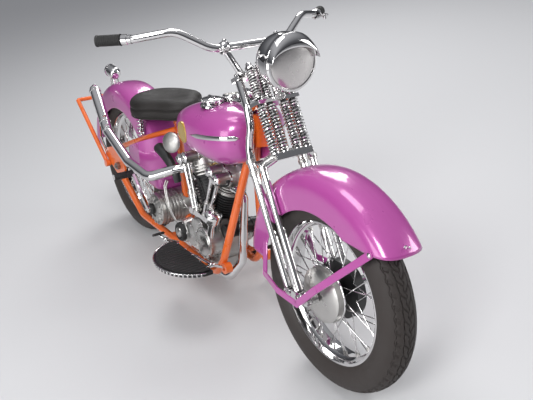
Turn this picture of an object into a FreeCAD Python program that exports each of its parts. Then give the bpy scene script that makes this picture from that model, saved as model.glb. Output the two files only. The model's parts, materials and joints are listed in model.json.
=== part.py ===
"""Bobber motorcycle: a rigid tubular frame, an open V-twin and a girder-and-spring fork.

Bike frame, in millimetres: X forward from the rear axle, Y to the rider's left, Z up from the
ground, with the machine upright. At the end every piece is leaned over onto the side stand and
moved so that the origin is the middle of the footprint, on the floor.
"""
import FreeCAD, Part
import math
import os
import Sketcher
from FreeCAD import Placement, Rotation, Vector

os.makedirs("parts", exist_ok=True)
doc = FreeCAD.newDocument("bobber")

# Driving dimensions: name, value, what it is.
SIZES = [
    ("wheelbase", 1511, "axle to axle"),
    ("tyre_radius", 338, "ground to axle"),
    ("tyre_section", 116, "tyre width, and twice the crown radius"),
    ("rim_radius", 242, "rim flange"),
    ("rim_width", 84, "rim over its flanges"),
    ("rim_wall", 3, "rim section"),
    ("spoke_radius", 2, "wire"),
    ("spoke_count", 40, "spokes in a wheel"),
    ("hub_radius", 24, "hub barrel"),
    ("flange_radius", 44, "hub spoke flanges"),
    ("hub_width", 84, "over the hub flanges"),
    ("drum_radius", 98, "brake drum"),
    ("drum_width", 34, "brake drum"),
    ("hub_cover_radius", 92, "domed cover of the front hub"),
    ("axle_radius", 9, "wheel axles"),
    ("rake", 29, "steering axis from vertical, degrees"),
    ("axle_offset", 76, "front axle ahead of the steering axis"),
    ("leg_half_track", 98, "fork leg to the middle plane"),
    ("leg_radius", 14, "fork leg tube"),
    ("rigid_leg_back", 42, "rear legs behind the steering axis"),
    ("spring_leg_ahead", 20, "front legs ahead of the steering axis"),
    ("stem_radius", 14, "steering stem"),
    ("neck_radius", 28, "head tube"),
    ("neck_low", 490, "head tube lower end along the steering axis"),
    ("neck_high", 622, "head tube upper end"),
    ("crown_up", 452, "lower crown along the steering axis"),
    ("perch_up", 643, "spring perch along the steering axis"),
    ("springs_ahead", 60, "springs ahead of the steering axis"),
    ("spring_cap_up", 768, "upper spring caps along the steering axis"),
    ("spring_radius", 15, "outside of the coils"),
    ("outer_spring_y", 62, "outer springs"),
    ("inner_spring_y", 26, "inner springs"),
    ("lamp_radius", 88, "headlamp rim"),
    ("lamp_depth", 120, "headlamp shell"),
    ("lamp_x", 1277, "headlamp lens"),
    ("lamp_z", 1031, "headlamp centre"),
    ("bar_radius", 12.7, "handlebar tube"),
    ("bar_x", 1040, "bar clamps"),
    ("bar_z", 1048, "bar clamps"),
    ("grip_radius", 18, "handlebar grip"),
    ("grip_length", 120, "handlebar grip"),
    ("grip_end_y", 450, "grip ends"),
    ("fender_gap", 66, "front tyre to the fender crown"),
    ("fender_half_width", 82, "front fender"),
    ("fender_wall", 3, "fender sheet"),
    ("rear_fender_gap", 42, "rear tyre to the fender crown"),
    ("tube_radius", 15, "frame tubes"),
    ("backbone_radius", 20, "top frame tube"),
    ("seat_tube_x", 440, "seat tube top"),
    ("backbone_z", 640, "top tube under the saddle"),
    ("rail_z", 150, "lower rails"),
    ("rail_half_track", 88, "lower rails"),
    ("foot_x", 930, "front ends of the lower rails"),
    ("lug_x", 958, "mounting lugs"),
    ("lug_y", 90, "mounting lugs"),
    ("lug_z", 204, "mounting lugs"),
    ("lug_radius", 21, "mounting lugs"),
    ("lug_bore", 9, "mounting lugs"),
    ("lug_width", 28, "mounting lugs"),
    ("plate_half_track", 106, "axle plates"),
    ("plate_wall", 9, "axle plates"),
    ("crank_x", 760, "crankshaft"),
    ("crank_z", 255, "crankshaft"),
    ("case_radius", 112, "crankcase"),
    ("case_half_width", 62, "crankcase"),
    ("vee_half_angle", 22.5, "cylinders from vertical, degrees"),
    ("barrel_foot", 128, "crank centre to a barrel's foot"),
    ("barrel_length", 112, "finned barrel"),
    ("barrel_radius", 46, "barrel under the fins"),
    ("fin_radius", 64, "barrel fins"),
    ("fin_count", 9, "fins on a barrel"),
    ("fin_wall", 3, "fin thickness"),
    ("head_height", 70, "cylinder head"),
    ("head_radius", 58, "cylinder head"),
    ("rocker_height", 44, "rocker cover"),
    ("rocker_along", 322, "crank centre to the rocker shafts"),
    ("rocker_spread", 24, "rocker shafts either side of a cylinder axis"),
    ("rocker_boss", 22, "rocker shaft housing radius"),
    ("rocker_reach", 88, "rocker housings, middle plane to their ends"),
    ("pushrod_radius", 9, "pushrod tubes"),
    ("pipe_radius", 21, "exhaust pipe"),
    ("muffler_radius", 24, "muffler body"),
    ("tank_gap", 34, "middle plane to the inner tank wall"),
    ("tank_middle", 724, "height of a fuel tank's middle"),
    ("tank_front", 1086, "fuel tank"),
    ("tank_rear", 600, "fuel tank"),
    ("cap_radius", 28, "filler cap"),
    ("saddle_z", 668, "saddle underside"),
    ("saddle_height", 58, "saddle"),
    ("saddle_rear_radius", 178, "saddle rear"),
    ("saddle_nose_radius", 46, "saddle nose"),
    ("saddle_rear_x", 373, "centre of the round rear"),
    ("saddle_nose_x", 545, "centre of the round nose"),
    ("oil_half_width", 140, "oil tank"),
    ("oil_arm", 46, "oil tank, thickness in plan"),
    ("oil_front", 424, "oil tank"),
    ("oil_rear", 228, "oil tank"),
    ("oil_bottom", 386, "oil tank"),
    ("saddle_tilt", 4, "nose up, degrees"),
    ("stay_slope", 22.5, "seat stays above level, degrees"),
    ("stay_z", 489, "seat stays at stay_x"),
    ("stay_x", 154, "where stay_z is taken"),
    ("board_length", 310, "footboard"),
    ("board_width", 150, "footboard"),
    ("board_wall", 14, "footboard"),
    ("board_x", 850, "footboard middle"),
    ("board_y", 175, "footboard inner edge"),
    ("board_z", 226, "footboard underside"),
    ("chain_y", 69, "final drive chain"),
    ("chain_width", 10, "final drive chain"),
    ("big_sprocket", 124, "rear sprocket"),
    ("small_sprocket", 50, "gearbox sprocket"),
    ("primary_y", 78, "inner face of the primary case"),
    ("primary_depth", 34, "primary case"),
    ("chain_depth", 12, "final drive chain"),
    ("lean", 10, "on the side stand, degrees"),
    ("stand_x", 770, "side stand pivot"),
    ("stand_y", 128, "side stand pivot"),
    ("stand_z", 142, "side stand pivot"),
    ("stand_radius", 12, "stand legs"),
    ("hinge_tilt", 40, "side stand hinge from the vertical, degrees"),
    ("stand_foot_y", 292, "side stand foot"),
    ("stand_foot_x", 850, "side stand foot"),
    ("rear_stand_x", -120, "rear stand pivot"),
    ("rear_stand_drop", 20, "rear stand pivot below the axle"),
    ("rear_stand_length", 405, "rear stand pivot to its crossbar"),
    ("rear_stand_angle", 37, "stowed rear stand above level, degrees"),
    ("seat_gap", 0.3, "between pieces that seat on each other"),
]

sheet = doc.addObject("Spreadsheet::Sheet", "Sizes")
for row, (alias, value, meaning) in enumerate(SIZES, start=1):
    sheet.set(f"A{row}", alias)
    sheet.set(f"B{row}", str(value))
    sheet.set(f"C{row}", meaning)
    sheet.setAlias(f"B{row}", alias)
doc.recompute()


class Sheet:
    """Reads a driving dimension of the sheet by its alias."""

    def __getattr__(self, alias):
        return float(sheet.get(alias))


S = Sheet()
X, Y, Z = Vector(1, 0, 0), Vector(0, 1, 0), Vector(0, 0, 1)
FRONT = Vector(S.wheelbase, 0, S.tyre_radius)
REAR = Vector(0, 0, S.tyre_radius)
RAKE = math.radians(S.rake)
STEER_UP = Vector(-math.sin(RAKE), 0, math.cos(RAKE))
STEER_AHEAD = Vector(math.cos(RAKE), 0, math.sin(RAKE))
STEER_FOOT = FRONT - STEER_AHEAD * S.axle_offset
SIDES = (("right", -1), ("left", 1))
NODES = []


def fork(ahead, up, side=0.0):
    """A point of the fork: ahead of the steering axis, up along it, and to the left."""
    return STEER_FOOT + STEER_AHEAD * ahead + STEER_UP * up + Y * side


def part(label, shape):
    """A sub-part from a shape worked out here."""
    feature = doc.addObject("Part::Feature", label)
    feature.Label = label
    feature.Shape = shape
    NODES.append(feature)
    return feature


def round_bar(label, radius, length, foot, axis):
    """A round primitive whose radius and length are formulas of the sheet."""
    cylinder = doc.addObject("Part::Cylinder", label)
    cylinder.setExpression("Radius", radius)
    cylinder.setExpression("Height", length)
    cylinder.Placement = Placement(foot, Rotation(Z, Vector(axis)))
    return cylinder


def joined(label, pieces, apart=False):
    """A sub-part of primitives, fused into one solid or kept apart in a compound."""
    node = doc.addObject("Part::Compound" if apart else "Part::MultiFuse", label)
    node.Label = label
    if apart:
        node.Links = pieces
    else:
        node.Shapes = pieces
    NODES.append(node)
    return node


def sketched(body, name, corners):
    """A closed sketch on the body's XY plane; corners are pairs of formulas of the sheet."""
    sketch = body.newObject("Sketcher::SketchObject", name)
    plane = next(item for item in body.Origin.OriginFeatures if item.Role == "XY_Plane")
    sketch.AttachmentSupport = [(plane, "")]
    sketch.MapMode = "FlatFace"
    values = [[float(sheet.evalExpression(formula)) for formula in corner] for corner in corners]
    count = len(corners)
    for index, (u, v) in enumerate(values):
        after = values[(index + 1) % count]
        sketch.addGeometry(Part.LineSegment(Vector(u, v, 0), Vector(*after, 0)))
    for index, (corner, (u, v)) in enumerate(zip(corners, values)):
        sketch.addConstraint(Sketcher.Constraint("Coincident", index, 2, (index + 1) % count, 1))
        for kind, formula, value in (("DistanceX", corner[0], u), ("DistanceY", corner[1], v)):
            place = sketch.addConstraint(Sketcher.Constraint(kind, -1, 1, index, 1, value))
            sketch.setExpression(f"Constraints[{place}]", formula)
    return sketch


def turned_body(label, corners, foot, axis):
    """A turned sub-part: corners are (along the axis, radius) formulas of the sheet."""
    body = doc.addObject("PartDesign::Body", label)
    body.Label = label
    sketch = sketched(body, f"{label}_section", corners)
    turning = body.newObject("PartDesign::Revolution", f"{label}_turning")
    turning.Profile = sketch
    turning.ReferenceAxis = (sketch, ["H_Axis"])
    turning.Angle = 360
    body.Placement = Placement(foot, Rotation(X, Vector(axis)))
    NODES.append(body)
    return body


def plate_body(label, corners, depth, foot, turn):
    """A plate sub-part: corners in its own plane and its depth are formulas of the sheet."""
    body = doc.addObject("PartDesign::Body", label)
    body.Label = label
    sketch = sketched(body, f"{label}_outline", corners)
    pad = body.newObject("PartDesign::Pad", f"{label}_pad")
    pad.Profile = sketch
    pad.setExpression("Length", depth)
    body.Placement = Placement(foot, turn)
    NODES.append(body)
    return body


def fuse(shapes):
    """One shape of several that overlap."""
    shapes = list(shapes)
    return shapes[0].multiFuse(shapes[1:]) if len(shapes) > 1 else shapes[0]


def unit(vector):
    """The same direction, of length one."""
    return Vector(vector) * (1 / Vector(vector).Length)


def rod(start, end, radius):
    """A round bar from start to end."""
    return Part.makeCylinder(radius, (end - start).Length, start, end - start)


def disc(centre, axis, radius, length):
    """A round piece centred on centre."""
    return Part.makeCylinder(radius, length, centre - unit(axis) * (length / 2), axis)


def block(low, high):
    """A box between two corners."""
    return Part.makeBox(high.x - low.x, high.y - low.y, high.z - low.z, low)


def rounded_path(points, bend):
    """Straight runs joined by tangent arcs of the bend radius, or less where a run is short."""
    edges, start = [], points[0]
    for before, corner, after in zip(points, points[1:], points[2:]):
        come, go = unit(corner - before), unit(after - corner)
        turn = come.getAngle(go)
        if turn < 0.001:
            continue
        reach = min(bend * math.tan(turn / 2),
                    0.45 * min((corner - before).Length, (after - corner).Length))
        first, last = corner - come * reach, corner + go * reach
        radius = reach / math.tan(turn / 2)
        middle = corner + unit(go - come) * (radius / math.cos(turn / 2) - radius)
        edges += [Part.LineSegment(start, first).toShape(), Part.Arc(first, middle, last).toShape()]
        start = last
    edges.append(Part.LineSegment(start, points[-1]).toShape())
    return Part.Wire(edges)


def tube(points, radius, bend=60, bore=0.0):
    """A round tube along a path, solid or with a bore."""
    path = rounded_path(points, bend)
    along = points[1] - points[0]

    def swept(section):
        return path.makePipeShell([Part.Wire(Part.makeCircle(section, points[0], along))], True, False)

    return swept(radius).cut(swept(bore)) if bore else swept(radius)


def revolve(profile, centre, axis, angle=360.0):
    """A turned piece: profile is a table of (along the axis, radius)."""
    axis = unit(axis)
    out = Z if abs(axis.z) < 0.9 else X
    out = unit(out - axis * out.dot(axis))
    corners = [centre + axis * along + out * radius for along, radius in profile]
    return Part.Face(Part.makePolygon(corners + corners[:1])).revolve(centre, axis, angle)


def strap(points, width, wall, across=Y):
    """A flat bar: runs between points, width across and wall thick, rounded at the corners."""
    pieces = []
    across = unit(across)
    for a, b in zip(points, points[1:]):
        flat = unit((b - a).cross(across)) * (wall / 2)
        side = across * (width / 2)
        corners = [a - side - flat, a + side - flat, a + side + flat, a - side + flat]
        pieces.append(Part.Face(Part.makePolygon(corners + corners[:1])).extrude(b - a))
    for point in points[1:-1]:
        pieces.append(Part.makeCylinder(wall / 2, width, point - across * (width / 2), across))
    return fuse(pieces)


def flat_bar(points, width, wall):
    """A flat bar standing on edge: wall thick sideways, with round joints at the corners."""
    pieces = []
    for a, b in zip(points, points[1:]):
        rise = unit((b - a).cross(Y)) * (width / 2)
        thick = Y * (wall / 2)
        corners = [a - rise - thick, a + rise - thick, a + rise + thick, a - rise + thick]
        pieces.append(Part.Face(Part.makePolygon(corners + corners[:1])).extrude(b - a))
    pieces += [disc(point, Y, width / 2, wall) for point in points]
    return fuse(pieces)


def extruded(outline, depth):
    """A plate: a closed outline of points, pushed along depth."""
    return Part.Face(Part.makePolygon(list(outline) + [outline[0]])).extrude(depth)


def arch(centre, crown, half_width, shoulder, drop, flank, start, end):
    """A fender sheet swept about a wheel, start and end in degrees from level ahead.

    The section is a crown arc down to the shoulder, given as (in from the side, below the crown), an
    arc down to drop below the crown, and a flat flank.
    """
    first = math.radians(start)
    out = Vector(math.cos(first), 0, math.sin(first))

    def at(side, radius):
        return centre + Y * side + out * radius

    def edges(wall):
        """One skin of the sheet, as its left flank, corner, crown, corner and right flank."""
        top, wide, turn = crown - wall, half_width - wall, shoulder[0] - 0.6 * wall
        low = top - shoulder[1]
        knee = (wide - 0.26 * turn, top - shoulder[1] - 0.36 * (drop - shoulder[1]))
        skin = []
        for side in (-1, 1):
            skin.append(Part.LineSegment(at(side * wide, crown - flank), at(side * wide, crown - drop)).toShape())
            skin.append(Part.Arc(at(side * wide, crown - drop), at(side * knee[0], knee[1]),
                                 at(side * (wide - turn), low)).toShape())
        skin.append(Part.Arc(at(turn - wide, low), at(0, top), at(wide - turn, low)).toShape())
        return skin

    lips = [Part.LineSegment(at(side * half_width, crown - flank),
                             at(side * (half_width - S.fender_wall), crown - flank)).toShape() for side in (-1, 1)]
    section = Part.Wire(Part.__sortEdges__(edges(0) + edges(S.fender_wall) + lips))
    return Part.Face(section).revolve(centre, Y * -1, end - start)


def wheel(name, centre, drum_side):
    """A laced wheel: tyre, rim, spokes and hub."""
    crown = S.tyre_section / 2
    ring_radius = S.tyre_radius - crown
    bead = S.rim_width / 2 - S.rim_wall - S.seat_gap
    shoulder = math.radians(45)
    shoulder_y, shoulder_r = crown * math.sin(shoulder), ring_radius + crown * math.cos(shoulder)
    bead_r = S.rim_radius - 8

    def at(side, radius):
        return centre + Y * side + Z * radius

    corners = [
        Part.Arc(at(-bead, bead_r), at(-crown, ring_radius + 2), at(-shoulder_y, shoulder_r)).toShape(),
        Part.Arc(at(-shoulder_y, shoulder_r), at(0, S.tyre_radius), at(shoulder_y, shoulder_r)).toShape(),
        Part.Arc(at(shoulder_y, shoulder_r), at(crown, ring_radius + 2), at(bead, bead_r)).toShape(),
        Part.LineSegment(at(bead, bead_r), at(-bead, bead_r)).toShape(),
    ]
    section = Part.Face(Part.Wire(corners))
    flange, bed, well = S.rim_width / 2, bead_r - S.seat_gap, S.rim_radius - 24
    rim = [(-flange, S.rim_radius), (-flange, bed - S.rim_wall), (-18, bed - S.rim_wall), (-12, well),
           (12, well), (18, bed - S.rim_wall), (flange, bed - S.rim_wall), (flange, S.rim_radius),
           (flange - S.rim_wall, S.rim_radius), (flange - S.rim_wall, bed), (20, bed),
           (14, well + S.rim_wall), (-14, well + S.rim_wall), (-20, bed), (-flange + S.rim_wall, bed),
           (-flange + S.rim_wall, S.rim_radius)]
    rim_shape = revolve(rim, centre, Y)
    part(f"{name}_tyre", section.revolve(centre, Y, 360).cut(rim_shape))
    half = S.hub_width / 2
    bore = S.axle_radius + S.seat_gap
    hub = [(-half, bore), (-half, S.flange_radius), (-half + 5, S.flange_radius),
           (-half + 9, S.hub_radius), (half - 9, S.hub_radius), (half - 5, S.flange_radius),
           (half, S.flange_radius), (half, bore)]
    drum_start = drum_side * (half - S.drum_width)
    drum = disc(centre + Y * (drum_start + drum_side * S.drum_width / 2), Y, S.drum_radius, S.drum_width)
    solids = [revolve(hub, centre, Y), drum]
    if name == "rear":
        plane = centre + Y * S.chain_y
        solids.append(disc(plane, Y, S.big_sprocket - S.seat_gap, S.chain_width - 4))
        solids.append(rod(centre + Y * half, plane, 46))
    if name == "front":
        cover = S.hub_cover_radius
        dome = [(37.2, 0), (37.2, cover), (41, cover + 2), (52, cover - 7), (62, cover - 24), (69, cover - 48),
                (74, cover - 74), (75, 0)]
        solids.append(revolve(dome, centre, Y * -drum_side))
    part(f"{name}_hub", fuse(solids).cut(disc(centre, Y, bore, 4 * S.hub_width)))
    spokes = []
    count = int(S.spoke_count)
    for index in range(count):
        side = 1 if index % 2 else -1
        sweep = 1 if (index // 2) % 2 else -1
        rim_angle = 2 * math.pi * index / count
        drum_here = side == drum_side
        foot_radius = S.drum_radius - 6 if drum_here else S.flange_radius - 5
        hub_angle = rim_angle + sweep * math.radians(28 if drum_here else 62)
        foot_y = side * (half - S.drum_width - 2.25 if drum_here else half - 8.3)
        foot_point = centre + Vector(foot_radius * math.sin(hub_angle), foot_y,
                                     foot_radius * math.cos(hub_angle))
        top = centre + Vector((well - 0.5) * math.sin(rim_angle), side * 6,
                              (well - 0.5) * math.cos(rim_angle))
        spokes.append(rod(foot_point, top, S.spoke_radius))
    part(f"{name}_rim", fuse([rim_shape] + spokes))


def rear_axle():
    """The rear axle, through both axle plates, with its nuts."""
    reach = S.plate_half_track + S.plate_wall / 2
    pieces = [round_bar("rear_spindle", "Sizes.axle_radius", "2 * Sizes.plate_half_track + Sizes.plate_wall + 44",
                  REAR - Y * (reach + 22), Y)]
    for name, side in SIDES:
        pieces.append(round_bar(f"rear_nut_{name}", "Sizes.axle_radius + 8", "14", REAR + Y * (side * (reach + 8) - 7), Y))
        pieces.append(round_bar(f"rear_spacer_{name}", "Sizes.axle_radius + 6", "20",
                          REAR + Y * (side * (reach - S.plate_wall - 15) - 10), Y))
    joined("rear_axle", pieces)


def stay_height(x):
    """The height of the seat stays' centre line at x."""
    return S.stay_z + (x - S.stay_x) * math.tan(math.radians(S.stay_slope))


def stand_hinge():
    """The side stand's hinge axis, tilted outward from the vertical."""
    slant = math.radians(S.hinge_tilt)
    return Vector(0, math.sin(slant), math.cos(slant))


def frame():
    """The rigid frame: neck, top tube, two front downtubes, seat tube, rails, stays and axle plates."""
    neck_top, neck_foot = fork(0, S.neck_high), fork(0, S.neck_low)
    pieces = [rod(neck_foot, neck_top, S.neck_radius)]
    seat_top = Vector(S.seat_tube_x, 0, S.backbone_z)
    knot = Vector(1050, 0, 782)
    high_join, low_join = fork(0, S.neck_high - 24), fork(0, S.neck_low + 24)
    web = [high_join + Z * 12, low_join - Z * 10, Vector(1034, -0, 690), Vector(1018, 0, 740),
           Vector(1024, 0, 806)]
    pieces.append(extruded([point - Y * 18 for point in web], Y * 36))
    pieces.append(tube([knot, Vector(640, 0, S.backbone_z + 30), seat_top], S.backbone_radius, 120))
    crank_foot = Vector(S.seat_tube_x + 38, 0, S.rail_z)
    pieces.append(rod(seat_top, crank_foot, S.tube_radius))
    plate = [(-164, 8), (-40, -46), (44, -52), (66, 0), (44, 104), (-50, 82), (-164, 44)]
    for _, side in SIDES:
        foot = Vector(S.foot_x, side * S.rail_half_track, S.rail_z)
        pieces.append(tube([knot + Y * side * 16, Vector(1022, side * 17, 640), foot + Vector(4, 0, 76),
                            foot + Vector(-50, 0, 0), Vector(190, side * (S.rail_half_track + 4), S.rail_z),
                            Vector(16, side * S.plate_half_track, S.tyre_radius - 40)], S.tube_radius, 60))
        rear = Vector(10, side * S.plate_half_track, stay_height(10))
        pieces.append(tube([rear, Vector(S.stay_x, side * (S.plate_half_track - 4), S.stay_z),
                            Vector(330, side * 88, stay_height(330)), Vector(452, side * 16, stay_height(452))],
                           S.tube_radius - 3, 80))
        corner = [Vector(x, side * S.plate_half_track - S.plate_wall / 2, S.tyre_radius + z)
                  for x, z in plate]
        pieces.append(extruded(corner, Y * S.plate_wall))
        pieces.append(disc(Vector(S.lug_x, side * S.lug_y, S.lug_z), Y, S.lug_radius, S.lug_width))
    pieces.append(rod(crank_foot - Y * S.rail_half_track, crank_foot + Y * S.rail_half_track, S.tube_radius))
    for _, side in SIDES:
        boss = Vector(S.rear_stand_x, side * (S.plate_half_track + 3.1), (S.tyre_radius - S.rear_stand_drop))
        pieces.append(disc(boss, Y, 13, 6.2))
    for x, z in ((716, 690), (960, 757)):
        pieces.append(disc(Vector(x, 0, z), Y, 11, 2 * (S.tank_gap - S.seat_gap)))
    pivot, hinge = Vector(S.stand_x, S.stand_y, S.stand_z), stand_hinge()
    inward = hinge.cross(X)
    top = pivot - hinge * (12 + S.seat_gap)
    if inward.y > 0:
        inward = inward * -1
    lug = [top - X * 18 - inward * 16, top + X * 18 - inward * 16, top + X * 24 + inward * 38,
           top - X * 24 + inward * 38]
    pieces.append(extruded(lug, hinge * -9))
    whole = fuse(pieces)
    whole = whole.cut(rod(fork(0, S.neck_low - 20), fork(0, S.neck_high + 20), S.stem_radius + S.seat_gap))
    whole = whole.cut(disc(REAR, Y, S.axle_radius + S.seat_gap, 400))
    for _, side in SIDES:
        hole = Vector(S.lug_x, side * S.lug_y, S.lug_z)
        whole = whole.cut(disc(hole, Y, S.lug_bore, 2 * S.lug_width))
    part("frame", whole)


def engine():
    """An open V-twin: crankcase, two finned barrels with their heads, and what bolts to them."""
    crank = Vector(S.crank_x, 0, S.crank_z)
    half = S.case_half_width
    case = disc(crank, Y, S.case_radius, 2 * half)
    deck = extruded([crank + Vector(-104, -half + 6, 40), crank + Vector(-96, -half + 6, 100),
                     crank + Vector(-30, -half + 6, 136), crank + Vector(30, -half + 6, 136),
                     crank + Vector(96, -half + 6, 100), crank + Vector(104, -half + 6, 40)],
                    Y * (2 * half - 12))
    sump = block(crank + Vector(-80, -half + 8, -S.case_radius - 8),
                 crank + Vector(80, half - 8, -S.case_radius + 30))
    shape = fuse([case, deck, sump])
    rocker_shafts = []
    for name, lean in (("front", 1), ("rear", -1)):
        angle = math.radians(S.vee_half_angle) * lean
        up = Vector(math.sin(angle), 0, math.cos(angle))
        start = crank + up * S.barrel_foot
        far = X * lean * 300
        other_side = block(crank + Vector(-300, -150, 0) - far, crank + Vector(300, 150, 600) - far)
        shape = fuse([shape, disc(start - up * 30, up, S.barrel_radius + 12, 60)])
        shape = shape.cut(disc(start + up * (S.barrel_length / 2), up, 90, S.barrel_length))
        pitch = S.barrel_length / S.fin_count
        profile = [(S.seat_gap, 0), (S.seat_gap, S.barrel_radius)]
        for index in range(int(S.fin_count)):
            low = pitch * (index + 0.5)
            profile += [(low, S.barrel_radius), (low, S.fin_radius),
                        (low + S.fin_wall, S.fin_radius), (low + S.fin_wall, S.barrel_radius)]
        profile += [(S.barrel_length, S.barrel_radius), (S.barrel_length, 0)]
        barrel = revolve(profile, start, up).cut(other_side.translated(X * lean * 0.5))
        part(f"cylinder_{name}", barrel)
        head_foot = start + up * (S.barrel_length + S.seat_gap)
        head_profile = [(0, 0), (0, S.head_radius), (6, S.head_radius)]
        for low in (14, 26, 38):
            head_profile += [(low, S.head_radius - 10), (low, S.head_radius + 4),
                             (low + 5, S.head_radius + 4), (low + 5, S.head_radius - 10)]
        head_profile += [(S.head_height, S.head_radius - 14), (S.head_height, 0)]
        cover_foot = head_foot + up * S.head_height
        dome = revolve([(0, 0), (0, 50), (20, 47), (34, 34), (S.rocker_height, 12), (S.rocker_height, 0)],
                       cover_foot, up)
        head = [revolve(head_profile, head_foot, up), dome]
        for spread in (-S.rocker_spread, S.rocker_spread):
            shaft = crank + up * S.rocker_along + up.cross(Y) * -spread
            head.append(rod(shaft - Y * 14, shaft - Y * S.rocker_reach, S.rocker_boss))
            head.append(rod(shaft - Y * 14, shaft - Y * (S.rocker_reach + 6), S.rocker_boss - 6))
            rocker_shafts.append(shaft)
        part(f"head_{name}", fuse(head))
    part("crankcase", shape)
    face = -half - S.seat_gap
    gear = []
    for x, z, radius, depth in ((62, 6, 62, 50), (0, 24, 60, 40), (-60, -4, 50, 40), (-122, -14, 48, 46)):
        gear.append(Part.makeCylinder(radius, depth, Vector(crank.x + x, face, crank.z + z), Y * -1))
    part("gear_cover", fuse(gear))
    tubes = []
    for foot_x, shaft in zip((-58, -30, 30, 58), sorted(rocker_shafts, key=lambda point: point.x)):
        foot = crank + Vector(foot_x, -half - 18, 104)
        top = shaft - Y * (half + 12)
        run = unit(top - foot)
        tubes.append(rod(foot, top - run * (S.rocker_boss + S.seat_gap), S.pushrod_radius - 1))
        tubes.append(rod(foot, foot + run * 66, S.pushrod_radius + 3))
    tappets = block(crank + Vector(-74, -half - 34, 86), crank + Vector(74, -half - S.seat_gap, 108))
    part("pushrod_tubes", fuse(tubes + [tappets]))
    timer_foot = crank + Vector(98, -98, 44)
    timer = revolve([(0, 0), (0, 15), (76, 15), (80, 32), (106, 34), (118, 24), (122, 0)],
                    timer_foot, Vector(0.3, 0, 1))
    seat = Part.makeCylinder(62 + S.seat_gap, 70, Vector(crank.x + 62, -half, crank.z + 6), Y * -1)
    part("timer", timer.cut(seat))
    joined("generator", [round_bar("generator_shell", "28", "150", crank + Vector(129.6, -53, 62), Y),
                         round_bar("generator_band", "31", "16", crank + Vector(129.6, 60, 62), Y)])
    intake = crank + Vector(0, 0, 262)
    part("carburettor", fuse([disc(intake + Y * 10, X, 17, 77.8), disc(intake + Y * 42, Y, 20, 92),
                              disc(intake + Vector(0, 62, -26), Z, 20, 60)]))
    shell = [("0", "0"), ("0", "58"), ("14", "62"), ("34", "58"), ("44", "40"), ("46", "0")]
    turned_body("air_cleaner", shell, intake + Y * (88 + S.seat_gap), Y)


def chain(front, front_radius, rear, rear_radius):
    """A roller chain as a closed band round two sprockets, with the sprockets."""
    along = unit(front - rear)
    spread, gap = rear_radius - front_radius, (front - rear).Length
    tilt = math.asin(spread / gap)
    over = along.cross(Y) * -1

    def loop(grow):
        """The band's boundary, grown outward."""
        ends = []
        for up in (1, -1):
            touch = along * math.sin(tilt) + over * (up * math.cos(tilt))
            ends.append((rear + touch * (rear_radius + grow), front + touch * (front_radius + grow)))
        (a, b), (c, d) = ends
        return Part.Wire([Part.LineSegment(a, b).toShape(),
                          Part.Arc(b, front + along * (front_radius + grow), d).toShape(),
                          Part.LineSegment(d, c).toShape(),
                          Part.Arc(c, rear - along * (rear_radius + grow), a).toShape()])

    width = S.chain_width
    band = Part.Face(loop(S.chain_depth)).extrude(Y * width).cut(Part.Face(loop(0)).extrude(Y * width))
    return band.translated(Y * (-width / 2))


def drive():
    """Primary case on the left, gearbox, kick starter and the final drive chain."""
    half = S.case_half_width
    crank = Vector(S.crank_x, S.primary_y, S.crank_z)
    clutch = Vector(S.crank_x - 310, S.primary_y, S.crank_z + 14)
    depth = S.primary_depth
    big, small = 92, 66
    along = unit(clutch - crank)
    up = along.cross(Y)
    body = extruded([crank + up * small, clutch + up * big, clutch - up * big, crank - up * small], Y * depth)
    neck = rod(Vector(crank.x, half + S.seat_gap, crank.z), crank + Y * 2, 44)
    primary = fuse([body, neck, Part.makeCylinder(small, depth, crank, Y),
                    Part.makeCylinder(big, depth, clutch, Y)])
    part("primary_cover", primary)
    box = Vector(clutch.x - 20, 0, clutch.z)
    case = fuse([disc(box - Y * 30, Y, 66, 180), block(box + Vector(-36, -118, 0), box + Vector(40, 56, 62))])
    seat_tube = rod(Vector(S.seat_tube_x, 0, S.backbone_z), Vector(S.seat_tube_x + 38, 0, S.rail_z),
                    S.tube_radius + 1)
    shaft = rod(box, Vector(box.x, S.primary_y - S.seat_gap, box.z), 18)
    sprocket = disc(box + Y * S.chain_y, Y, S.small_sprocket - S.seat_gap, S.chain_width - 4)
    part("transmission", fuse([case.cut(seat_tube), shaft, sprocket]))
    part("drive_chain", chain(box + Y * S.chain_y, S.small_sprocket, REAR + Y * S.chain_y, S.big_sprocket))
    pivot = box + Vector(-20, -120 - S.seat_gap, 0)
    tip = pivot + Vector(-150, -34, 120)
    kick = fuse([rod(pivot, pivot - Y * 40, 13), strap([pivot - Y * 34, tip], 12, 20),
                 disc(tip - Y * 40, Y, 13, 90)])
    part("kick_starter", kick)


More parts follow.
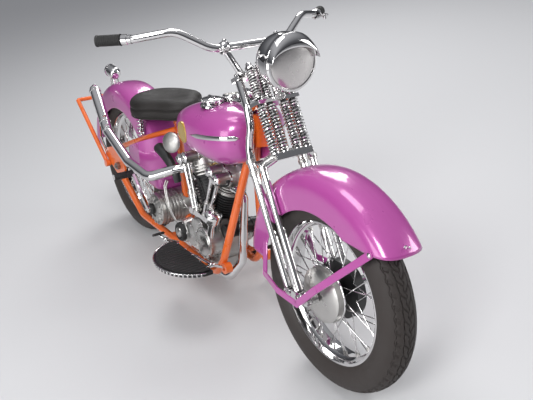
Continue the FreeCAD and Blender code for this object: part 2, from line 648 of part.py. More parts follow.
def exhaust():
    """Two pipes on the right: the front one drops to the boards, the rear one sweeps up and back."""
    crank = Vector(S.crank_x, 0, S.crank_z)
    angle = math.radians(S.vee_half_angle)
    heads = []
    for lean in (1, -1):
        head_axis = Vector(lean * math.sin(angle), 0, math.cos(angle))
        heads.append(rod(crank + head_axis * 250, crank + head_axis * 310, S.head_radius + 4 + S.seat_gap))
    port = crank + Vector(150, -20, 246)
    front = tube([port, Vector(962, -4, 486), Vector(922, 0, 190), Vector(872, -30, 106),
                  Vector(560, -40, 104)], S.pipe_radius - 3, 45)
    part("exhaust_front", front.cut(heads[0]))
    start = crank + Vector(-150, -30, 242)
    rear = tube([start, Vector(572, -92, 488), Vector(500, -178, 452), Vector(330, -190, 470),
                 Vector(100, -182, 545)], S.pipe_radius, 60).cut(heads[1])
    root = Vector(100, -182, 545)
    muffler = revolve([(-2, 0), (-2, S.pipe_radius + 1), (24, S.muffler_radius), (274, S.muffler_radius),
                       (284, S.pipe_radius), (284, 0)], root, Vector(-250, 47, 145))
    carrier = Vector(60, -S.plate_half_track, stay_height(60))
    hanger = rod(carrier, Vector(60, -182, 562), 7).cut(rod(carrier - Vector(60, 0, 60 * math.tan(
        math.radians(S.stay_slope))), carrier + Vector(60, 0, 60 * math.tan(math.radians(S.stay_slope))),
        S.tube_radius - 3 + S.seat_gap))
    part("exhaust_rear", fuse([rear, muffler, hanger]))


def tanks():
    """Twin fuel tanks astride the top tube, the dash between them, and the horseshoe oil tank."""
    # along the tank, its middle above tank_middle, its half height, its reach from the middle plane
    rows = ((S.tank_rear, -22, 26, 62), (S.tank_rear + 100, -16, 66, 128), (S.tank_rear + 260, -2, 100, 158),
            (S.tank_front - 92, 7, 106, 150), (S.tank_front, 16, 62, 88))
    for name, side in SIDES:
        inner = S.tank_gap
        wires = []
        for x, rise, half_height, reach in rows:
            low, high = S.tank_middle + rise - half_height, S.tank_middle + rise + half_height
            flat = inner + (reach - inner) * 0.4
            a, b = Vector(x, side * inner, low), Vector(x, side * inner, high)
            c, d = Vector(x, side * flat, high), Vector(x, side * flat, low)
            bulge = Vector(x, side * reach, (low + high) / 2)
            wires.append(Part.Wire([Part.LineSegment(a, b).toShape(), Part.LineSegment(b, c).toShape(),
                                    Part.Arc(c, bulge, d).toShape(), Part.LineSegment(d, a).toShape()]))
        shell = Part.makeLoft(wires, True, False)
        cap = Part.makeCylinder(S.cap_radius, 30, Vector(916, side * 76, S.tank_middle + 86))
        part(f"fuel_tank_{name}", fuse([shell, cap]))
    half = S.tank_gap - S.seat_gap
    crown = [(720, 769), (790, 815), (880, 843), (1010, 851), (1040, 830), (1010, 800), (760, 752)]
    corners = [(str(x), f"Sizes.tank_middle + {z - S.tank_middle:g}") for x, z in crown]
    plate_body("dash", corners, "2 * (Sizes.tank_gap - Sizes.seat_gap)", Vector(0, half, 0), Rotation(X, 90))

    straight = S.oil_rear + 100
    outer, arm = S.oil_half_width, S.oil_arm

    def half_ring(reach, front, level):
        """The front boundary of the horseshoe in plan."""
        left, right = Vector(straight, reach, level), Vector(straight, -reach, level)
        nose = Vector(front, 0, level)
        return left, right, Part.Arc(right, nose, left).toShape()

    level = S.oil_bottom
    left, right, front = half_ring(outer, S.oil_front, level)
    left_in, right_in, front_in = half_ring(outer - arm, S.oil_front - arm * 0.8, level)
    back = Vector(S.oil_rear - straight, 0, 0)
    edges = [front, Part.LineSegment(left, left + back).toShape(),
             Part.LineSegment(left + back, left_in + back).toShape(),
             Part.LineSegment(left_in + back, left_in).toShape(), front_in,
             Part.LineSegment(right_in, right_in + back).toShape(),
             Part.LineSegment(right_in + back, right + back).toShape(),
             Part.LineSegment(right + back, right).toShape()]
    oil = Part.Face(Part.Wire(Part.__sortEdges__(edges))).extrude(Z * 240)
    below = (S.tube_radius - 3 + S.seat_gap) / math.cos(math.radians(S.stay_slope))
    lid = extruded([Vector(0, -300, stay_height(0) - below), Vector(600, -300, stay_height(600) - below),
                    Vector(600, -300, 900), Vector(0, -300, 900)], Y * 600)
    part("oil_tank", oil.cut(lid))


def saddle():
    """A sprung solo saddle on its post, plain here."""
    rear = Vector(S.saddle_rear_x, 0, S.saddle_z)
    nose = Vector(S.saddle_nose_x, 0, S.saddle_z)
    spread, gap = S.saddle_rear_radius - S.saddle_nose_radius, (nose - rear).Length
    tilt = math.asin(spread / gap)
    touch = Vector(math.sin(tilt), math.cos(tilt), 0)
    mirror = Vector(touch.x, -touch.y, 0)
    outline = Part.Wire([
        Part.LineSegment(rear + touch * S.saddle_rear_radius, nose + touch * S.saddle_nose_radius).toShape(),
        Part.Arc(nose + touch * S.saddle_nose_radius, nose + X * S.saddle_nose_radius,
                 nose + mirror * S.saddle_nose_radius).toShape(),
        Part.LineSegment(nose + mirror * S.saddle_nose_radius, rear + mirror * S.saddle_rear_radius).toShape(),
        Part.Arc(rear + mirror * S.saddle_rear_radius, rear - X * S.saddle_rear_radius,
                 rear + touch * S.saddle_rear_radius).toShape()])
    solid = Part.Face(outline).extrude(Z * S.saddle_height)
    top = [edge for edge in solid.Edges if edge.BoundBox.ZMin > S.saddle_z + S.saddle_height - 1]
    pad = solid.makeFillet(S.saddle_height * 0.45, top)
    pad.rotate(rear - X * S.saddle_rear_radius, Y, -S.saddle_tilt)
    part("saddle", pad)
    rise = math.tan(math.radians(S.saddle_tilt))
    spring_x, springs = 270, []
    for name, side in SIDES:
        foot = Vector(spring_x, side * 96, stay_height(spring_x) + S.tube_radius + 5 + S.seat_gap)
        top_z = S.saddle_z + (spring_x - 18 - S.saddle_rear_x + S.saddle_rear_radius) * rise - S.seat_gap
        springs.append(round_bar(f"saddle_spring_{name}", "Sizes.spring_radius + 1", f"{top_z - foot.z:g}", foot, Z))
    joined("saddle_springs", springs, apart=True)


def fenders():
    """The rear fender, its struts and tail lamp."""
    gauge = S.tyre_radius + S.rear_fender_gap
    chain_notch = block(Vector(240, S.chain_y - 12, 240), Vector(400, 100, 396))
    part("rear_fender", arch(REAR, gauge, S.fender_half_width - 2.5, (20, 10), 50, 112, -2, 176).cut(chain_notch))
    struts = []
    for _, side in SIDES:
        plate_face = side * (S.plate_half_track + S.plate_wall / 2 + 3 + S.seat_gap)
        foot, bend = Vector(-135, plate_face, S.tyre_radius + 34), Vector(-190, plate_face, S.tyre_radius + 88)
        struts.append(flat_bar([foot, bend, Vector(-262, side * 82.8, 528)], 16, 6))
    part("fender_struts", Part.makeCompound(struts))
    out = unit(Vector(-224, 0, 306))
    lamp_foot = REAR + out * (gauge + S.seat_gap)
    lamp = fuse([rod(lamp_foot, lamp_foot + out * 8, 16), rod(lamp_foot + out * 6, lamp_foot + Vector(-12, 0, 74), 9),
                 Part.makeCylinder(28, 56, lamp_foot + Vector(14, 0, 78), Vector(-1, 0, 0.1))])
    part("tail_light", lamp)


def footboards():
    """D-shaped footboards on their side rails."""
    for name, side in SIDES:
        middle = Vector(S.board_x, side * S.board_y, S.board_z)
        bulge = Part.Arc(middle - X * (S.board_length / 2) + Y * side * 30,
                         middle + Y * side * S.board_width,
                         middle + X * (S.board_length / 2) + Y * side * 30).toShape()
        low, high = middle - X * (S.board_length / 2), middle + X * (S.board_length / 2)
        outline = Part.Wire([Part.LineSegment(low, low + Y * side * 30).toShape(), bulge,
                             Part.LineSegment(high + Y * side * 30, high).toShape(),
                             Part.LineSegment(high, low).toShape()])
        board = Part.Face(outline).extrude(Z * S.board_wall)
        rail = tube([Vector(S.board_x - 120, side * (S.rail_half_track + 8), S.rail_z + 4),
                     middle + Vector(-80, side * 12, -5), middle + Vector(80, side * 12, -5),
                     Vector(S.board_x - 20, side * (S.rail_half_track + 8), S.rail_z + 4)], 8, 20)
        track = side * S.rail_half_track
        rail_line = rod(Vector(S.foot_x - 50, track, S.rail_z), Vector(190, track + side * 4, S.rail_z),
                        S.tube_radius + S.seat_gap)
        part(f"footboard_{name}", fuse([board, rail]).cut(rail_line))


def front_end():
    """The girder fork: rigid legs, spring legs, springs, rockers, axle, bars, lamp and fender."""
    track, back, ahead = S.leg_half_track, S.rigid_leg_back, S.spring_leg_ahead
    rigid = []
    for _, side in SIDES:
        rigid.append(tube([fork(-back, 51 + S.seat_gap, side * track),
                           fork(-back, S.crown_up + 18, side * track),
                           fork(-back + 8, S.crown_up + 68, side * (track - 4)),
                           fork(6, S.perch_up - 58, side * (track - 10)),
                           fork(14, S.perch_up + 7, side * (track - 14)),
                           fork(2, S.perch_up + 105, side * (track - 20))],
                          S.leg_radius, 60))
    perch = [fork(-12, S.perch_up - 6, -86), fork(30, S.perch_up - 6, -86),
             fork(S.springs_ahead + 22, S.perch_up - 6, -78)]
    rigid.append(extruded(perch + [Vector(point.x, -point.y, point.z) for point in perch[::-1]],
                          STEER_UP * 12))
    rigid.append(strap([fork(-back, S.crown_up + 14, -track), fork(-back, S.crown_up + 14, track)],
                       36, 14, STEER_AHEAD))
    rigid.append(extruded([fork(-back, S.crown_up + 6, -24), fork(16, S.crown_up + 6, -24),
                           fork(16, S.crown_up + 6, 24), fork(-back, S.crown_up + 6, 24)], STEER_UP * 14))
    rigid.append(rod(fork(0, S.crown_up + 8), fork(0, 752), S.stem_radius))
    rigid.append(extruded([fork(-26, 740, -92), fork(26, 740, -92), fork(26, 740, 92), fork(-26, 740, 92)],
                          STEER_UP * 14))
    for _, side in SIDES:
        rigid.append(disc(fork(-back, 300, side * (S.fender_half_width + S.seat_gap + 4)), Y, 11, 8))
    part("rigid_fork", fuse(rigid))
    spring = []
    for _, side in SIDES:
        spring.append(rod(fork(ahead, S.crown_up, side * track), fork(ahead, 34, side * track), S.leg_radius - 2))
        spring.append(rod(fork(ahead, S.crown_up - 10, side * track),
                          fork(S.springs_ahead, S.crown_up + 7, side * 60), 10))
    spring.append(strap([fork(S.springs_ahead, S.crown_up + 8, -72), fork(S.springs_ahead, S.crown_up + 8, 72)],
                        34, 22, STEER_AHEAD))
    low = S.crown_up + 19 + S.seat_gap
    part("spring_fork", fuse(spring))
    coils = []
    rows = (("far_right", -S.outer_spring_y), ("right", -S.inner_spring_y), ("left", S.inner_spring_y),
            ("far_left", S.outer_spring_y))
    for place, side in rows:
        coils.append(round_bar(f"spring_{place}", "Sizes.spring_radius",
                         "Sizes.perch_up - Sizes.crown_up - 25 - 2 * Sizes.seat_gap",
                         fork(S.springs_ahead, low, side), STEER_UP))
        coils.append(round_bar(f"rebound_spring_{place}", "Sizes.spring_radius",
                         "Sizes.spring_cap_up - Sizes.perch_up - 6 - Sizes.seat_gap",
                         fork(S.springs_ahead, S.perch_up + 6 + S.seat_gap, side), STEER_UP))
    joined("fork_springs", coils, apart=True)
    rockers = []
    for _, side in SIDES:
        points = [fork(-back, 34, side * track), fork(ahead, 12, side * track), fork(S.axle_offset, 0, side * track)]
        rockers.append(fuse([strap(points, 22, 30)] + [disc(point, Y, 17, 28) for point in points]).cut(
            disc(FRONT, Y, S.axle_radius + S.seat_gap, 400)))
    part("rockers", Part.makeCompound(rockers))
    nuts = [round_bar(f"front_nut_{name}", "Sizes.axle_radius + 7", "14", FRONT + Y * (side * (track + 22) - 7), Y)
            for name, side in SIDES]
    joined("front_axle", nuts + [round_bar("front_spindle", "Sizes.axle_radius", "2 * Sizes.leg_half_track + 60",
                                     FRONT - Y * (track + 30), Y)])
    grip_end, grip_elbow = Vector(824, S.grip_end_y, 1087), Vector(918, 361, 1096)
    half_bar = [Vector(S.bar_x, 140, S.bar_z + 4), Vector(983, 247, 1115), grip_elbow,
                grip_end + unit(grip_elbow - grip_end) * 3]
    bar = [Vector(point.x, -point.y, point.z) for point in half_bar[::-1]] + half_bar
    bars = [tube(bar, S.bar_radius, 90)]
    for _, side in SIDES:
        foot = fork(0, 754 + S.seat_gap, side * 62)
        bars.append(rod(foot, foot + STEER_UP * 10, 15))
        bars.append(rod(foot + STEER_UP * 6, Vector(S.bar_x, side * 100, S.bar_z), 11))
    part("handlebar", fuse(bars))
    grips = []
    for _, side in SIDES:
        end = Vector(grip_end.x, side * grip_end.y, grip_end.z)
        run = unit(Vector(grip_elbow.x, side * grip_elbow.y, grip_elbow.z) - end)
        grip = rod(end, end + run * S.grip_length * 0.74, S.grip_radius)
        grips.append(grip.cut(rod(end + run * 2, end + run * S.grip_length, S.bar_radius + 0.1)))
    part("grips", Part.makeCompound(grips))
    lens = Vector(S.lamp_x, 0, S.lamp_z)
    shell = revolve([(0, 0), (0, S.lamp_radius), (-16, S.lamp_radius + 3), (-30, S.lamp_radius - 6),
                     (-70, S.lamp_radius * 0.78), (-104, S.lamp_radius * 0.46), (-S.lamp_depth, 18),
                     (-S.lamp_depth, 0)], lens, X)
    reach = S.springs_ahead + 12
    bracket = tube([fork(reach, S.perch_up + 6 + S.seat_gap), fork(reach, S.perch_up + 52),
                    lens + Vector(-60, 0, -36)], 9, 20)
    part("headlamp", fuse([shell, bracket]))
    gauge = S.tyre_radius + S.fender_gap
    below_lip = block(FRONT + Vector(0, -200, -200), FRONT + Vector(500, 200, 252))
    braces = [arch(FRONT, gauge, S.fender_half_width, (22, 11), 60, 121, 34, 176).cut(below_lip)]
    for _, side in SIDES:
        close, wide = side * (S.fender_half_width + 1), side * 134
        ahead, behind = Vector(0.697, 0, 0.717) * (gauge - 50), Vector(-0.961, 0, 0.276) * (gauge - 107)
        bar = [FRONT + ahead + Y * close, FRONT + Vector(63, wide, 73), FRONT + Vector(-33, wide, -22),
               FRONT + Vector(-141, wide, -22), FRONT + Vector(-254, side * 108, -20), FRONT + behind + Y * close]
        braces.append(flat_bar(bar, 24, 5))
    part("front_fender", fuse(braces))


def stands():
    """The side stand on the left, let down, and the rear stand, stowed."""
    lean = math.radians(S.lean)
    floor = -S.tyre_section / 2 * (1 - math.cos(lean))
    pivot = Vector(S.stand_x, S.stand_y, S.stand_z)
    foot_y = S.stand_foot_y
    foot_z = (foot_y * math.sin(lean) + floor) / math.cos(lean)
    pad = Vector(S.stand_foot_x, foot_y, foot_z)
    upward = Vector(0, -math.sin(lean), math.cos(lean))
    leg = rod(pivot, pad + upward * 14, S.stand_radius)
    sole = Part.makeCylinder(26, 8, pad, upward)
    part("side_stand", fuse([leg, sole, disc(pivot, stand_hinge(), 16, 24), rod(pad + upward * 4, pad + upward * 30, 16)]))
    angle = math.radians(S.rear_stand_angle)
    back = Vector(-math.cos(angle), 0, math.sin(angle))
    width = S.plate_half_track + S.plate_wall / 2 + 12
    legs = []
    for name, side in SIDES:
        start = Vector(S.rear_stand_x, side * width, (S.tyre_radius - S.rear_stand_drop))
        legs.append(round_bar(f"rear_stand_leg_{name}", "Sizes.stand_radius - 2", "Sizes.rear_stand_length", start, back))
        legs.append(round_bar(f"rear_stand_boss_{name}", "Sizes.stand_radius + 4", "20", start - Y * 10, Y))
    end = Vector(S.rear_stand_x, 0, S.tyre_radius - S.rear_stand_drop) + back * S.rear_stand_length
    legs.append(round_bar("rear_stand_foot", "Sizes.stand_radius - 2",
                    "2 * Sizes.plate_half_track + Sizes.plate_wall + 24", end - Y * width, Y))
    joined("rear_stand", legs)


wheel("front", FRONT, 1)
wheel("rear", REAR, 1)
rear_axle()
frame()
engine()
drive()
exhaust()
tanks()
saddle()
fenders()
footboards()
front_end()
stands()
doc.recompute()

lean_turn = Rotation(X, -S.lean)
low, high = [math.inf] * 3, [-math.inf] * 3
for node in NODES:
    node.Placement = Placement(Vector(), lean_turn).multiply(node.Placement)
doc.recompute()
for node in NODES:
    box = node.Shape.optimalBoundingBox(True, False)
    low = [min(low[0], box.XMin), min(low[1], box.YMin), min(low[2], box.ZMin)]
    high = [max(high[0], box.XMax), max(high[1], box.YMax), max(high[2], box.ZMax)]
shift = Vector(-(low[0] + high[0]) / 2, -(low[1] + high[1]) / 2, -low[2])
for node in NODES:
    node.Placement = Placement(shift, Rotation()).multiply(node.Placement)
doc.recompute()
print("box", [round(high[i] - low[i], 1) for i in range(3)], "shift", shift)

for item in doc.Objects:
    if "Invalid" in item.State or "Error" in item.State:
        raise RuntimeError(f"{item.Label} failed")
for node in NODES:
    if node.Shape.isNull() or not node.Shape.isValid():
        raise RuntimeError(f"{node.Label} has no valid shape")
    node.Shape.exportStep(f"parts/{node.Label}.step")
print(len(NODES), "nodes", sum(len(node.Shape.Solids) for node in NODES), "solids")
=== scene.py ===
"""Looks of the bobber motorcycle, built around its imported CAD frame.

Points are written in the upright bike frame, in millimetres: X forward from the rear axle, Y to the
rider's left, Z up from the ground. Bike.row leans them onto the side stand, in metres, as the CAD is.
A profile is a table of (distance along the axis, radius), from which Piece.turned makes a round form.
"""

import json
import logging
import math
from dataclasses import dataclass, field
from enum import Enum
from typing import Any

import bpy
import numpy as np
from mathutils import Matrix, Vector
from numpy.typing import ArrayLike


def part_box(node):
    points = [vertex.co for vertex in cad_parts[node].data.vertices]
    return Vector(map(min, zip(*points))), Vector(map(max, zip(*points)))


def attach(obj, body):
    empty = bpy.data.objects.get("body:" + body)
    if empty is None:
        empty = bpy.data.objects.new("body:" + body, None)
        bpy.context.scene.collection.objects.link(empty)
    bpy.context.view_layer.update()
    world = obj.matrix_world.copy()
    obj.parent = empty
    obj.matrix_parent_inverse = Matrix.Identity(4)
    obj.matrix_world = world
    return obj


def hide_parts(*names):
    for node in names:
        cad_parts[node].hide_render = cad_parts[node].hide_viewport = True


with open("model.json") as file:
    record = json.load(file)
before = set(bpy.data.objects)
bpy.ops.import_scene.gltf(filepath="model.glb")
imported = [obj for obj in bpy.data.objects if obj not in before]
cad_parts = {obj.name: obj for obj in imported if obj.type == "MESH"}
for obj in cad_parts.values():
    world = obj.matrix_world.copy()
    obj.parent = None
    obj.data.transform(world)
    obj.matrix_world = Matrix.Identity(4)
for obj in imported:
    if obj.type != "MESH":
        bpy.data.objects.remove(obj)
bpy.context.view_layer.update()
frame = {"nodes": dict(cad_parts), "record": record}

logging.basicConfig(level=logging.INFO, format="%(name)s: %(message)s")
log = logging.getLogger("bobber")

Point = tuple[float, float, float]
Profile = list[tuple[float, float]]
SIDES = (("right", -1), ("left", 1))
QUARTER = math.pi / 2
UP = np.array([0.0, 0.0, 1.0])
ACROSS = np.array([0.0, 1.0, 0.0])
AHEAD = np.array([1.0, 0.0, 0.0])


class Grain(Enum):
    """The fine relief of a finish."""

    SMOOTH = "smooth"
    FLAKE = "flake"
    CAST = "cast"
    BRUSHED = "brushed"
    LEATHER = "leather"
    RUBBER = "rubber"


@dataclass(frozen=True)
class Finish:
    """A surface finish, from which a node material is made.

    Args:
        colour: linear base colour.
        metallic: 1 for bare or plated metal.
        roughness: mean roughness.
        spread: how far the roughness wanders to either side.
        coat: weight of a clear coat.
        grain: kind of fine relief.
        scale: grains in a metre.
        relief: strength of the relief.
        edge: radius of the rounded-looking edges, in metres.
        tint: how much darker the hollows of the colour noise are.
    """

    colour: Point
    metallic: float = 0.0
    roughness: float = 0.4
    spread: float = 0.05
    coat: float = 0.0
    grain: Grain = Grain.SMOOTH
    scale: float = 300.0
    relief: float = 0.05
    edge: float = 0.0008
    tint: float = 0.08


FINISHES = {
    "magenta_paint": Finish((0.47, 0.075, 0.345), 0.15, 0.3, 0.03, 1, Grain.FLAKE, 1400, 0.02, 0.001, 0.05),
    "orange_paint": Finish((0.8, 0.145, 0.02), 0, 0.3, 0.05, 0.7, Grain.SMOOTH, 90, 0.04, 0.001),
    "chrome": Finish((0.74, 0.73, 0.73), 1, 0.08, 0.035, 0, Grain.SMOOTH, 35, 0.012, 0.0008, 0.04),
    "polished_alloy": Finish((0.6, 0.59, 0.57), 1, 0.31, 0.07, 0, Grain.BRUSHED, 260, 0.06, 0.0012, 0.15),
    "cast_alloy": Finish((0.56, 0.55, 0.53), 1, 0.42, 0.08, 0, Grain.CAST, 700, 0.25, 0.0015, 0.25),
    "bright_wire": Finish((0.78, 0.77, 0.76), 1, 0.17, 0.05, 0, Grain.SMOOTH, 60, 0.02, 0, 0.06),
    "dark_steel": Finish((0.07, 0.07, 0.072), 1, 0.38, 0.06, 0, Grain.BRUSHED, 300, 0.08, 0.0006, 0.2),
    "cast_iron": Finish((0.018, 0.018, 0.019), 0, 0.45, 0.1, 0.1, Grain.CAST, 900, 0.3, 0.0008, 0.2),
    "steel": Finish((0.36, 0.35, 0.34), 1, 0.33, 0.08, 0, Grain.BRUSHED, 320, 0.08, 0.0008, 0.2),
    "tyre_rubber": Finish((0.04, 0.032, 0.029), 0, 0.66, 0.1, 0, Grain.RUBBER, 500, 0.3, 0, 0.3),
    "rubber": Finish((0.016, 0.016, 0.016), 0, 0.62, 0.1, 0, Grain.RUBBER, 800, 0.25, 0.0006, 0.25),
    "leather": Finish((0.0095, 0.0066, 0.0052), 0, 0.62, 0.08, 0, Grain.LEATHER, 420, 0.4, 0, 0.35),
    "lamp_glass": Finish((0.68, 0.655, 0.64), 0.85, 0.26, 0.06, 1, Grain.SMOOTH, 60, 0.12, 0, 0.25),
    "gold": Finish((0.5, 0.33, 0.05), 0.5, 0.32, 0.06, 0.4, Grain.CAST, 300, 0.05, 0.0006, 0.1),
    "brass": Finish((0.72, 0.5, 0.2), 1, 0.25, 0.05, 0, Grain.BRUSHED, 300, 0.05, 0.0005, 0.1),
    "white_dial": Finish((0.75, 0.73, 0.66), 0, 0.4, 0.05, 0.6, Grain.SMOOTH, 300, 0.02, 0, 0.03),
    # Black for the dial's printed marks, and painted shade on the disc in the muffler's mouth.
    "black_print_and_painted_shade": Finish((0.008, 0.008, 0.008), 0, 0.8, 0.05, 0, Grain.RUBBER, 300, 0.1, 0, 0.1),
}


class Tree:
    """A node tree, with short ways to add nodes and to set or join their inputs."""

    def __init__(self, owner: bpy.types.ID) -> None:
        """Turns the nodes of a material or a world on."""
        owner.use_nodes = True
        self.nodes, self.links = owner.node_tree.nodes, owner.node_tree.links

    def fill(self, node: bpy.types.Node, inputs: dict[str | int, Any]) -> bpy.types.Node:
        """Joins the inputs that are given a socket, and sets the others."""
        for name, value in inputs.items():
            if isinstance(value, bpy.types.NodeSocket):
                self.links.new(value, node.inputs[name])
            else:
                node.inputs[name].default_value = value
        return node

    def add(self, kind: str, inputs: dict[str | int, Any] | None = None, **settings: Any) -> bpy.types.Node:
        """A new node of a kind, whose settings are made before its inputs are filled."""
        node = self.nodes.new("ShaderNode" + kind)
        for name, value in settings.items():
            setattr(node, name, value)
        return self.fill(node, inputs or {})


@dataclass
class Paintbox:
    """Makes each finish's material once."""

    made: dict[str, bpy.types.Material] = field(default_factory=dict)
    coat_roughness: float = 0.04
    broad_scale: float = 14.0
    noise_range: tuple[float, float] = (0.3, 0.7)
    least_roughness: float = 0.02
    depth: float = 0.001
    brush_stretch: Point = (0.12, 1, 1)
    clear: tuple[float, ...] = (0.93, 0.94, 0.92, 1)
    red: tuple[float, ...] = (0.55, 0.01, 0.01, 1)

    def get(self, name: str) -> bpy.types.Material:
        """The material of a finish.

        Args:
            name: a key of FINISHES, or "lens", "red_lens".

        Returns:
            The node material.
        """
        if name not in self.made:
            self.made[name] = self.glass(name) if name.endswith("lens") else self.solid(name, FINISHES[name])
        return self.made[name]

    def glass(self, name: str) -> bpy.types.Material:
        """A fluted glass lens, clear or red."""
        material = bpy.data.materials.new(name)
        tree, red = Tree(material), name.startswith("red")
        place = tree.add("TexCoord").outputs["Object"]
        flutes = tree.add("TexWave", {"Scale": 26, "Vector": place}, bands_direction="Y")
        bump = tree.add("Bump", {"Strength": 0.25, "Distance": 0.002, "Height": flutes.outputs["Fac"]})
        tree.fill(tree.nodes["Principled BSDF"], {
            "Base Color": self.red if red else self.clear, "Transmission Weight": 0.55 if red else 0.75,
            "Specular IOR Level": 0.6, "IOR": 1.48, "Roughness": 0.06, "Normal": bump.outputs["Normal"]})
        return material

    def solid(self, name: str, finish: Finish) -> bpy.types.Material:
        """A node material: noise in the colour and the roughness, a relief, and rounded edges."""
        material = bpy.data.materials.new(name)
        tree = Tree(material)
        place = tree.add("TexCoord").outputs["Object"]
        broad = tree.add("TexNoise", {"Scale": self.broad_scale, "Detail": 5, "Vector": place}).outputs["Fac"]
        rough = tree.add("MapRange", {
            "From Min": self.noise_range[0], "From Max": self.noise_range[1], "Value": broad,
            "To Min": max(self.least_roughness, finish.roughness - finish.spread),
            "To Max": finish.roughness + finish.spread})
        dark = tuple(channel * (1 - finish.tint) for channel in finish.colour)
        ends = {"A": (*dark, 1), "B": (*finish.colour, 1), "Factor": broad}
        shade = tree.add("Mix", ends, data_type="RGBA")
        height = self.relief(tree, place, finish)
        bump = tree.add("Bump", {"Strength": finish.relief, "Distance": self.depth, "Height": height})
        if finish.edge:
            edge = tree.add("Bevel", {"Radius": finish.edge}, samples=4)
            tree.fill(bump, {"Normal": edge.outputs["Normal"]})
        tree.fill(tree.nodes["Principled BSDF"], {
            "Metallic": finish.metallic, "Coat Weight": finish.coat, "Coat Roughness": self.coat_roughness,
            "Roughness": rough.outputs["Result"], "Base Color": shade.outputs["Result"],
            "Normal": bump.outputs["Normal"]})
        return material

    def relief(self, tree: Tree, place: bpy.types.NodeSocket, finish: Finish) -> bpy.types.NodeSocket:
        """The height signal of a finish's grain."""
        if finish.grain is Grain.LEATHER:
            size = {"Scale": finish.scale, "Vector": place}
            cells = tree.add("TexVoronoi", size, feature="DISTANCE_TO_EDGE")
            creases = tree.add("TexNoise", {"Scale": finish.scale / 8, "Detail": 6, "Vector": place})
            both = {0: cells.outputs["Distance"], 1: 1.6, 2: creases.outputs["Fac"]}
            return tree.add("Math", both, operation="MULTIPLY_ADD").outputs["Value"]
        if finish.grain is Grain.FLAKE:
            return tree.add("TexVoronoi", {"Scale": finish.scale, "Vector": place}).outputs["Distance"]
        if finish.grain is Grain.BRUSHED:
            place = tree.add("Mapping", {"Scale": self.brush_stretch, "Vector": place}).outputs["Vector"]
        return tree.add("TexNoise", {"Scale": finish.scale, "Detail": 4, "Vector": place}).outputs["Fac"]


@dataclass(frozen=True)
class Bike:
    """The upright bike frame and its sizes, which repeat the part's driving dimensions."""

    lean: float = math.radians(10)
    wheelbase: float = 1511.0
    axle_z: float = 338.0
    rake: float = math.radians(29)
    offset: float = 76.0

    def turn(self) -> np.ndarray:
        """The lean onto the side stand."""
        c, s = math.cos(-self.lean), math.sin(-self.lean)
        return np.array([[1, 0, 0], [0, c, -s], [0, s, c]])

    def shift(self) -> np.ndarray:
        """The row frame's place of the bike frame's origin, read from the rear tyre."""
        low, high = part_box("rear_tyre")
        centre = (np.array(low) + np.array(high)) / 2
        return centre - self.turn() @ np.array([0, 0, self.axle_z / 1000])

    def row(self, points: ArrayLike) -> np.ndarray:
        """Bike-frame millimetres as row-frame metres."""
        return np.asarray(points, float).reshape(-1, 3) / 1000 @ self.turn().T + self.shift()

    def axis(self, direction: ArrayLike) -> np.ndarray:
        """A bike-frame direction in the row frame."""
        return self.turn() @ np.asarray(direction, float)

    def fork(self, ahead: float, up: float, side: float = 0.0) -> np.ndarray:
        """A point of the fork: ahead of the steering axis, up along it, and to the left."""
        c, s = math.cos(self.rake), math.sin(self.rake)
        foot = np.array([self.wheelbase - c * self.offset, 0, self.axle_z - s * self.offset])
        return foot + np.array([c, 0, s]) * ahead + np.array([-s, 0, c]) * up + np.array([0, side, 0])

    def steering(self) -> np.ndarray:
        """The direction of the steering axis."""
        return self.fork(0, 1) - self.fork(0, 0)

    def front(self) -> np.ndarray:
        """The front axle's middle."""
        return np.array([self.wheelbase, 0, self.axle_z])

    def rear(self) -> np.ndarray:
        """The rear axle's middle."""
        return np.array([0, 0, self.axle_z])


BIKE = Bike()
PAINT = Paintbox()


def placed(x: float, y: float, z: float) -> Any:
    """A dataclass field that holds a point."""
    return field(default_factory=lambda: np.array([x, y, z], float))


def unit(vector: ArrayLike) -> np.ndarray:
    """The same direction, of length one."""
    vector = np.asarray(vector, float)
    return vector / np.linalg.norm(vector)


def square_to(axis: ArrayLike) -> tuple[np.ndarray, np.ndarray]:
    """Two directions square to an axis and to each other."""
    axis = unit(axis)
    start = UP if abs(axis[2]) < 0.9 else AHEAD
    first = unit(start - axis * (start @ axis))
    return first, np.cross(axis, first)


def around(count: int, start: float = 0.0) -> list[float]:
    """Angles spread evenly round a circle."""
    return [2 * math.pi * index / count + start for index in range(count)]


def upright(angle: float) -> np.ndarray:
    """The direction at an angle in the machine's middle plane, from AHEAD up."""
    return np.array([math.cos(angle), 0, math.sin(angle)])


def spoke(angle: float) -> np.ndarray:
    """The direction at an angle round a wheel, from UP forward."""
    return upright(angle)[::-1]


def along_side(run: np.ndarray) -> np.ndarray:
    """The rotation whose X is run and whose Y is ACROSS."""
    return np.column_stack([run, ACROSS, np.cross(run, ACROSS)])


def collar(low: float, high: float, radius: float, lip: float, bevel: float = 1.0,
           solid: bool = False) -> Profile:
    """The profile of a band whose ends fall by lip over a length of bevel; solid closes its ends."""
    band = [(low, radius - lip), (low + bevel, radius), (high - bevel, radius), (high, radius - lip)]
    return [(low, 0), *band, (high, 0)] if solid else band


def arc(deep: float, radius: float, count: int, end: float = QUARTER) -> Profile:
    """The profile of a round dome, from its crown at deep."""
    return [(deep * math.cos(turn), radius * math.sin(turn)) for turn in np.linspace(0, end, count)]


def smooth_path(points: ArrayLike, steps: int = 8) -> np.ndarray:
    """A Catmull-Rom line through points.

    Args:
        points: the corners, in order.
        steps: points on each run.

    Returns:
        The points of the line.
    """
    p = np.asarray(points, float)
    p = np.vstack([2 * p[0] - p[1], p, 2 * p[-1] - p[-2]])
    t = np.linspace(0, 1, steps, endpoint=False)[:, None]
    runs = [0.5 * (2 * b + (c - a) * t + (2 * a - 5 * b + 4 * c - d) * t**2 + (3 * b - a - 3 * c + d) * t**3)
            for a, b, c, d in zip(p, p[1:], p[2:], p[3:])]
    return np.vstack(runs + [p[-2]])


